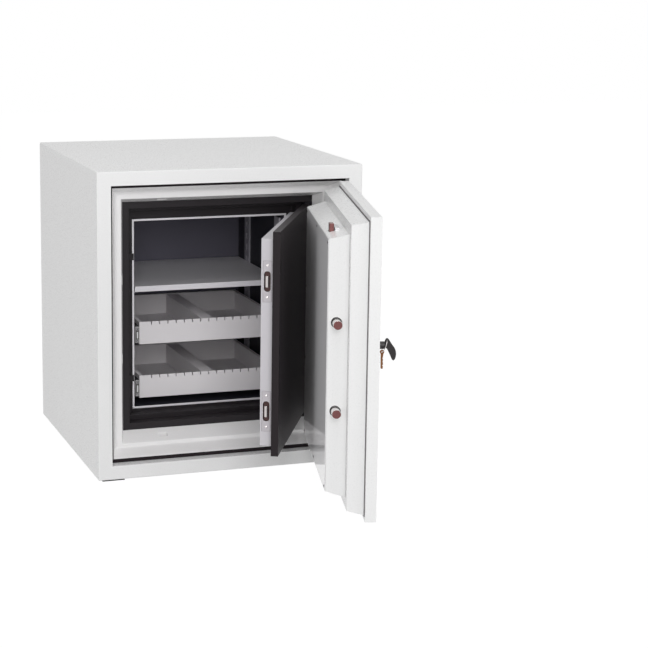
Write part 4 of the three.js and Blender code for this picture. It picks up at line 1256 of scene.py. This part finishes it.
@dataclass
class ElectronicLock:
    """The round lock with its lit digits."""

    bench: Bench
    swing: Swing = OUTER
    middle: Flat = (0.0, 545.0)
    seat: float = -327.8
    drum_face: float = -353.8
    ring_outside: float = 46.7
    ring_inside: float = 44.5
    face: float = -355.5
    radius: float = 44.2
    cut_below: float = 47.0
    guide_half: float = 14.0
    guide_top: float = -19.9
    guide_wall: float = 3.0

    def build(self) -> None:
        """Makes the lock's pieces."""
        self._drum()
        self._ring()
        self._face()
        self._finger_guide()
        self._display()
        self._digits()

    def _drum(self) -> None:
        """The tapered housing on its base rim, cut flat underneath."""
        x, z = self.middle
        depth = self.seat - self.drum_face
        profile = [(0, 0), (53.6, 0), (54.0, 0.5), (54.0, 4.6), (53.5, 5.4), (52.5, 5.7), (52.1, 6.2),
                   (52.1, 6.8), (50.9, 11.0), (49.6, 16.0), (48.5, 21.0), (47.9, depth - 1.6),
                   (47.4, depth - 0.7), (46.8, depth - 0.15), (46.0, depth), (0, depth)]
        mesh = lathe("drum_mesh", profile, 128, (0, -1, 0), (x, self.seat, z))
        drum = self.bench.stand_in("lock_drum", mesh, NYLON)
        reach = 70.0
        cut_away(drum, [block_of("drum_cut", (x - reach, self.drum_face - 5, z - reach),
                                 (x + reach, self.seat + 5, z - self.cut_below))])
        drum.data.transform(self.swing.matrix())

    def _ring(self) -> None:
        """The bright ring round the face, open at the bottom."""
        first, last, steps = math.radians(-65), math.radians(248), 110
        angles = [first + (last - first) * k / steps for k in range(steps + 1)]
        arc = [(r * math.cos(a), r * math.sin(a)) for r, run in
               ((self.ring_outside, angles), (self.ring_inside, angles[::-1])) for a in run]
        x, z = self.middle
        outline = [(x + u, z + v) for u, v in arc]
        mesh = slab_of("ring_mesh", outline, self.face - 0.2, self.drum_face - 0.3, 0.4, 3)
        self.bench.stand_in("lock_ring", mesh, WARM_NICKEL, self.swing)

    def _face(self) -> None:
        """The acrylic disc that the digits shine through."""
        x, z = self.middle
        thick = self.drum_face - 0.3 - self.face
        rim = self.radius
        profile = [(0, 0), (rim, 0), (rim, thick - 0.5), (rim - 0.15, thick - 0.15), (rim - 0.5, thick),
                   (0, thick)]
        mesh = lathe("lock_face_mesh", profile, 128, (0, -1, 0), (x, self.drum_face - 0.3, z))
        self.bench.stand_in("lock_face", mesh, GLASS_FACE, self.swing)

    def _finger_guide(self) -> None:
        """The raised arch that leads a fingertip to the reader, with the reader's window in it."""
        x, z = self.middle
        half, top, wall = self.guide_half, self.guide_top, self.guide_wall
        foot, front, bottom, corner = self.face - 0.3, self.face - 3.8, -44.3, 8.0
        inside, under, bend = half - wall, top - wall, corner - wall / 2
        outer = rounded_outline([(-half, bottom, 0), (-half, top, corner), (half, top, corner),
                                 (half, bottom, 0)], 10)
        inner = rounded_outline([(inside, bottom, 0), (inside, under, bend), (-inside, under, bend),
                                 (-inside, bottom, 0)], 10)
        mesh = slab_of("guide_mesh", [(x + u, z + v) for u, v in (*outer, *inner)], front, foot, 1.1, 4)
        self.bench.stand_in("finger_guide", mesh, NYLON, self.swing)
        reach, low, high = 8.0, -42.5, -26.5
        pad = rounded_outline([(-reach, low, 2.5), (reach, low, 2.5), (reach, high, 4.0),
                               (-reach, high, 4.0)], 6)
        mesh = slab_of("reader_mesh", [(x + u, z + v) for u, v in pad], foot - 0.7, foot + 0.2, 0.3, 2)
        self.bench.add("finger_reader", mesh, GLASS_FACE, "finger_guide", self.swing)

    def _display(self) -> None:
        """Six digits of seven lit bars each."""
        bars = {"1": "bc", "2": "abged", "3": "abgcd", "4": "fgbc", "5": "afgcd", "6": "afgedc"}
        wide, tall, thick, lean = 5.0, 9.4, 1.25, 0.1
        left, base = -0.38 * self.radius, 0.53 * self.radius
        places = {
            "a": (0, 1, True), "d": (0, 0, True), "g": (0, 0.5, True),
            "f": (0, 0.5, False), "b": (1, 0.5, False), "e": (0, 0, False), "c": (1, 0, False),
        }
        half, trim = thick / 2, 0.5
        made = bmesh.new()
        for number, digit in enumerate("123456"):
            start = left + number * (wide + 1.7)
            for bar in bars[digit]:
                u, v, level = places[bar]
                x0, z0 = start + u * wide, base + v * tall
                x1, z1 = (x0 + wide, z0) if level else (x0, z0 + tall / 2)
                grow_x, grow_z = (-trim, half) if level else (half, -trim)
                corners = [(x0 - grow_x, z0 - grow_z), (x1 + grow_x, z0 - grow_z),
                           (x1 + grow_x, z1 + grow_z), (x0 - grow_x, z1 + grow_z)]
                self._stamp(made, [(x + (z - base) * lean, z) for x, z in corners])
        self._light("display_digits", made, DIGIT_RED)

    def _stamp(self, made: Work, corners: Sequence[Flat]) -> None:
        """Adds one thin raised tile to the face.

        Args:
            made: the mesh that takes it.
            corners: its corners, from the lock's middle.
        """
        cx, cz = self.middle
        depths = (self.face - 0.25, self.face + 0.1)
        bridge(made, [[(cx + x, depth, cz + z) for x, z in corners] for depth in depths], closed=False)

    def _digits(self) -> None:
        """The touch digits in their grid, with a plain mark at each end of the last column."""
        columns = (-0.53, -0.17, 0.19, 0.56)
        rows = (0.32, 0.01, -0.29)
        words = (("1", "2", "3", ""), ("4", "5", "6", "0"), ("7", "8", "9", ""))
        long, thin = 3.6, 0.5
        made = bmesh.new()
        for row, line in zip(rows, words):
            for column, word in zip(columns, line):
                x, z = column * self.radius, row * self.radius
                if word:
                    self._glyph(made, word, x, z)
                else:
                    self._stamp(made, [(x - long, z - thin), (x + long, z - thin), (x + long, z + thin),
                                       (x - long, z + thin)])
        self._light("touch_digits", made, DIGIT_VIOLET)

    def _glyph(self, made: Work, word: str, x: float, z: float) -> None:
        """Adds one digit drawn with Blender's own letter shapes.

        Args:
            made: the mesh that takes it.
            word: the digit.
            x: its middle across, from the lock's middle.
            z: its middle up, from the lock's middle.
        """
        curve = bpy.data.curves.new("digit", "FONT")
        curve.body, curve.size, curve.extrude = word, 7.2 * MM, 0.15 * MM
        curve.align_x, curve.align_y, curve.resolution_u = "CENTER", "CENTER", 3
        text = bpy.data.objects.new("digit", curve)
        bpy.context.scene.collection.objects.link(text)
        graph = bpy.context.evaluated_depsgraph_get()
        mesh = bpy.data.meshes.new_from_object(text.evaluated_get(graph))
        bpy.data.objects.remove(text)
        at = Vector((self.middle[0] + x, self.face - 0.1, self.middle[1] + z)) * MM
        mesh.transform(Matrix.Translation(at) @ Matrix.Rotation(math.pi / 2, 4, "X"))
        made.from_mesh(mesh)
        bpy.data.meshes.remove(mesh)

    def _light(self, name: str, made: Work, finish: Finish) -> None:
        """Closes lit marks into one piece on the lock's face."""
        self.bench.add(name, finished_mesh(f"{name}_mesh", made), finish, "lock_face", self.swing)


@dataclass
class Keys:
    """The key in its lock, the ring and the spare key."""

    bench: Bench
    swing: Swing = OUTER
    at: Point = (-184.0, -327.5, 410.0)
    bow_half: float = 3.0
    bow_out: float = 4.5
    eye: Point = (30.7, 10.5, 1.6)
    collar: float = 8.5

    def build(self) -> None:
        """Makes the keys."""
        self._escutcheon()
        self._key()
        self.bench.soften("key_ring", NICKEL, 0.05, 1, over_deg=80)
        self._spare_key()

    def _upright(self, mesh: Mesh) -> Mesh:
        """Turns a shape drawn as distance from the door and height into the open door's place."""
        turn = Matrix.Rotation(math.radians(-90), 4, "Z")
        return moved(mesh, self.swing.matrix() @ Matrix.Translation(Vector(self.at) * MM) @ turn)

    def _escutcheon(self) -> None:
        """The round plate and barrel round the keyhole."""
        profile = [(0, 0.3), (12.6, 0.3), (13.0, 0.7), (13.0, 1.8), (12.4, 2.7), (11.2, 3.0), (10.4, 3.3),
                   (10.0, 4.0), (10.0, 7.4), (9.4, 8.2), (8.0, 8.3), (0, 8.3)]
        mesh = lathe("escutcheon_mesh", profile, 64, (0, -1, 0), self.at)
        self.bench.stand_in("key_escutcheon", mesh, NYLON, self.swing)

    def _key(self) -> None:
        """The key: a collar on the shaft and a leaning grip with an eye for the ring."""
        spots = [
            (17, 1), (20.5, 6.5), (22.6, 12.4), (26.2, 15.8), (30.2, 13.4), (34.4, 7.0), (38.6, 0.6),
            (43.2, -5.6), (46.2, -13), (47, -21), (45.6, -29), (42.3, -34), (38.7, -33), (36, -27.6),
            (31.6, -18), (27.6, -10), (23.4, -5.4), (19, -3.4),
        ]
        outline = smooth_outline([(out + self.bow_out, high) for out, high in spots])
        grip = pillow_of("key_mesh", outline, -self.bow_half, self.bow_half, 1.8)
        key = self.bench.stand_in("key", self._upright(grip), KEY_PLASTIC)
        out, high, radius = self.eye
        profile = [(0, -9), (radius, -9), (radius, 9), (0, 9)]
        hole = lathe("eye_mesh", profile, 24, (0, 1, 0), (out, 0, high))
        cut_away(key, [self._upright(hole)])
        profile = [(0, -20.0), (3.5, -20.0), (3.5, 8.6), (7.7, 8.6), (8.3, 9.2), (self.collar, 10.0),
                   (self.collar, 24.0), (8.1, 25.8), (7.0, 26.8), (5.6, 27.0), (0, 27.0)]
        collar = lathe("collar_mesh", profile, 48, (0, -1, 0), self.at)
        self.bench.add("key_collar", collar, KEY_PLASTIC, "key", self.swing)

    def _spare_key(self) -> None:
        """The flat spare key, with cuts along one edge of its blade."""
        out, eye_high, eye, blade, tip = 20.5, -15.2, 4.9, 2.75, -53.2
        first = math.atan2(-4.0, blade)
        sweep = 2 * math.pi - 2 * (math.pi / 2 + first)
        turns = [first + sweep * k / 28 for k in range(29)]
        outline = [(out + eye * math.cos(turn), eye_high + eye * math.sin(turn)) for turn in turns]
        outline += [(out - blade, tip + 1.6), (out - 0.9, tip), (out + 1.2, tip)]
        cuts = (0.9, 2.1, 0.6, 1.7, 1.1, 2.3, 0.8)
        pitch = 4.1
        for number, deep in enumerate(cuts):
            low = tip + 1.8 + number * pitch
            edge, floor = out + blade - 0.2, out + blade - deep
            outline += [(edge, low), (floor, low + 1.3), (floor, low + 2.3), (edge, low + 3.4)]
        mesh = slab_of("spare_mesh", outline, -1.0, 1.0, 0.25, 2)
        spare = self.bench.stand_in("spare_key", self._upright(mesh), KEY_BRASS)
        profile = [(0, -3), (1.7, -3), (1.7, 3), (0, 3)]
        hole = lathe("spare_eye_mesh", profile, 20, (0, 1, 0), (out, 0, eye_high))
        cut_away(spare, [self._upright(hole)])


@dataclass
class InnerDoor:
    """The thin inner door with its catches."""

    bench: Bench
    swing: Swing = INNER
    edge_x: float = -332.0 + 109.6 + 19.0
    well_half: float = 26.0
    well_deep: float = 15.5
    catch_depth: float = -214.5 + 16.8 + 0.3 + 14.5
    carrier_from: float = 1.5
    slot_half: float = 7.8
    slot_reach: float = 16.2
    rim_wide: float = 1.3
    rim_high: float = 0.55

    def build(self) -> None:
        """Makes the inner door."""
        shut = self.swing.matrix().inverted()
        heights = {Level.UPPER: 519.8, Level.LOWER: 216.3}

        def dark_wells(made: Work) -> None:
            """Gives the inside of the catch wells the black finish: painted shade in the hollows.

            Args:
                made: the pan's mesh.
            """
            for face in made.faces:
                spot = (shut @ face.calc_center_median()) / MM
                inside = any(abs(spot.z - z) < self.well_half for z in heights.values())
                if inside and self.edge_x + 0.3 < spot.x < self.edge_x + self.well_deep:
                    face.material_index = 1

        def dark_carrier(made: Work) -> None:
            """Gives the flat carrier behind a roller the dark finish: painted shade deep in the well.

            Args:
                made: the roller's mesh.
            """
            for face in made.faces:
                if (shut @ face.calc_center_median()).x / MM > self.edge_x + self.carrier_from:
                    face.material_index = 1

        self.bench.soften("inner_leaf", LEAF_BLACK, 1.2, 3)
        self.bench.soften("inner_pan", PAN_WHITE, 0.9, 3, extra=dark_wells, finishes=(SHADE_BLACK,))
        for level, z in heights.items():
            self.bench.soften(f"catch_plate_{level.value}", CATCH_STEEL, 0.25, 2)
            self.bench.soften(f"catch_roller_{level.value}", CATCH_CHROME, 0.6, 3, extra=dark_carrier,
                              finishes=(CARRIER_SHADE,))
            self._catch_rim(level, z)
            self._catch_screws(level, z)

    def _catch_rim(self, level: Level, z: float) -> None:
        """Makes the pressed collar round the long hole of a catch plate.

        Args:
            level: the catch.
            z: its height.
        """
        sides, loops = 48, []
        rounded = self.rim_wide * 0.3
        turns = [math.tau * (step + 0.5) / sides for step in range(sides)]
        for grow, rise in ((0.0, -1.0), (0.0, self.rim_high - rounded), (rounded, self.rim_high),
                           (self.rim_wide - rounded, self.rim_high), (self.rim_wide, 0.0)):
            half = self.slot_half + grow
            loops.append([
                (self.edge_x - rise, self.catch_depth + half * math.cos(turn),
                 z + math.copysign(self.slot_reach, math.sin(turn)) + half * math.sin(turn))
                for turn in turns
            ])
        word = level.value
        mesh = skin_of(f"catch_rim_mesh_{word}", loops)
        self.bench.add(f"catch_rim_{word}", mesh, RIM_STEEL, f"catch_plate_{word}", self.swing)

    def _catch_screws(self, level: Level, z: float) -> None:
        """Makes the two screws in a catch plate.

        Args:
            level: the catch.
            z: its height.
        """
        out, word = self.swing.turned((-1, 0, 0)), level.value
        for number, offset in enumerate((-37.0, 37.0)):
            seat = Vector((self.edge_x, self.catch_depth, z + offset)) * MM
            at = tuple(self.swing.matrix() @ seat / MM)
            mesh = screw_head(f"catch_screw_mesh_{word}_{number}", at, out, 2.8, 0.8)
            self.bench.add(f"catch_screw_{word}_{number}", mesh, NICKEL, f"catch_plate_{word}")


def main() -> None:
    """Builds the studio and the safe, sub-assembly by sub-assembly."""
    logging.basicConfig(level=logging.INFO, format="%(name)s: %(message)s")
    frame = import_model()
    Studio().build()
    bench = Bench(frame)
    Cabinet(bench).build()
    Chamber(bench).build()
    Drawer(bench, Level.UPPER, 287.5).build()
    Drawer(bench, Level.LOWER, 150.5).build()
    OuterDoor(bench).build()
    Boltwork(bench).build()
    ElectronicLock(bench).build()
    Keys(bench).build()
    InnerDoor(bench).build()
    LOG.info("all pieces made")


if __name__ == "__main__":
    main()
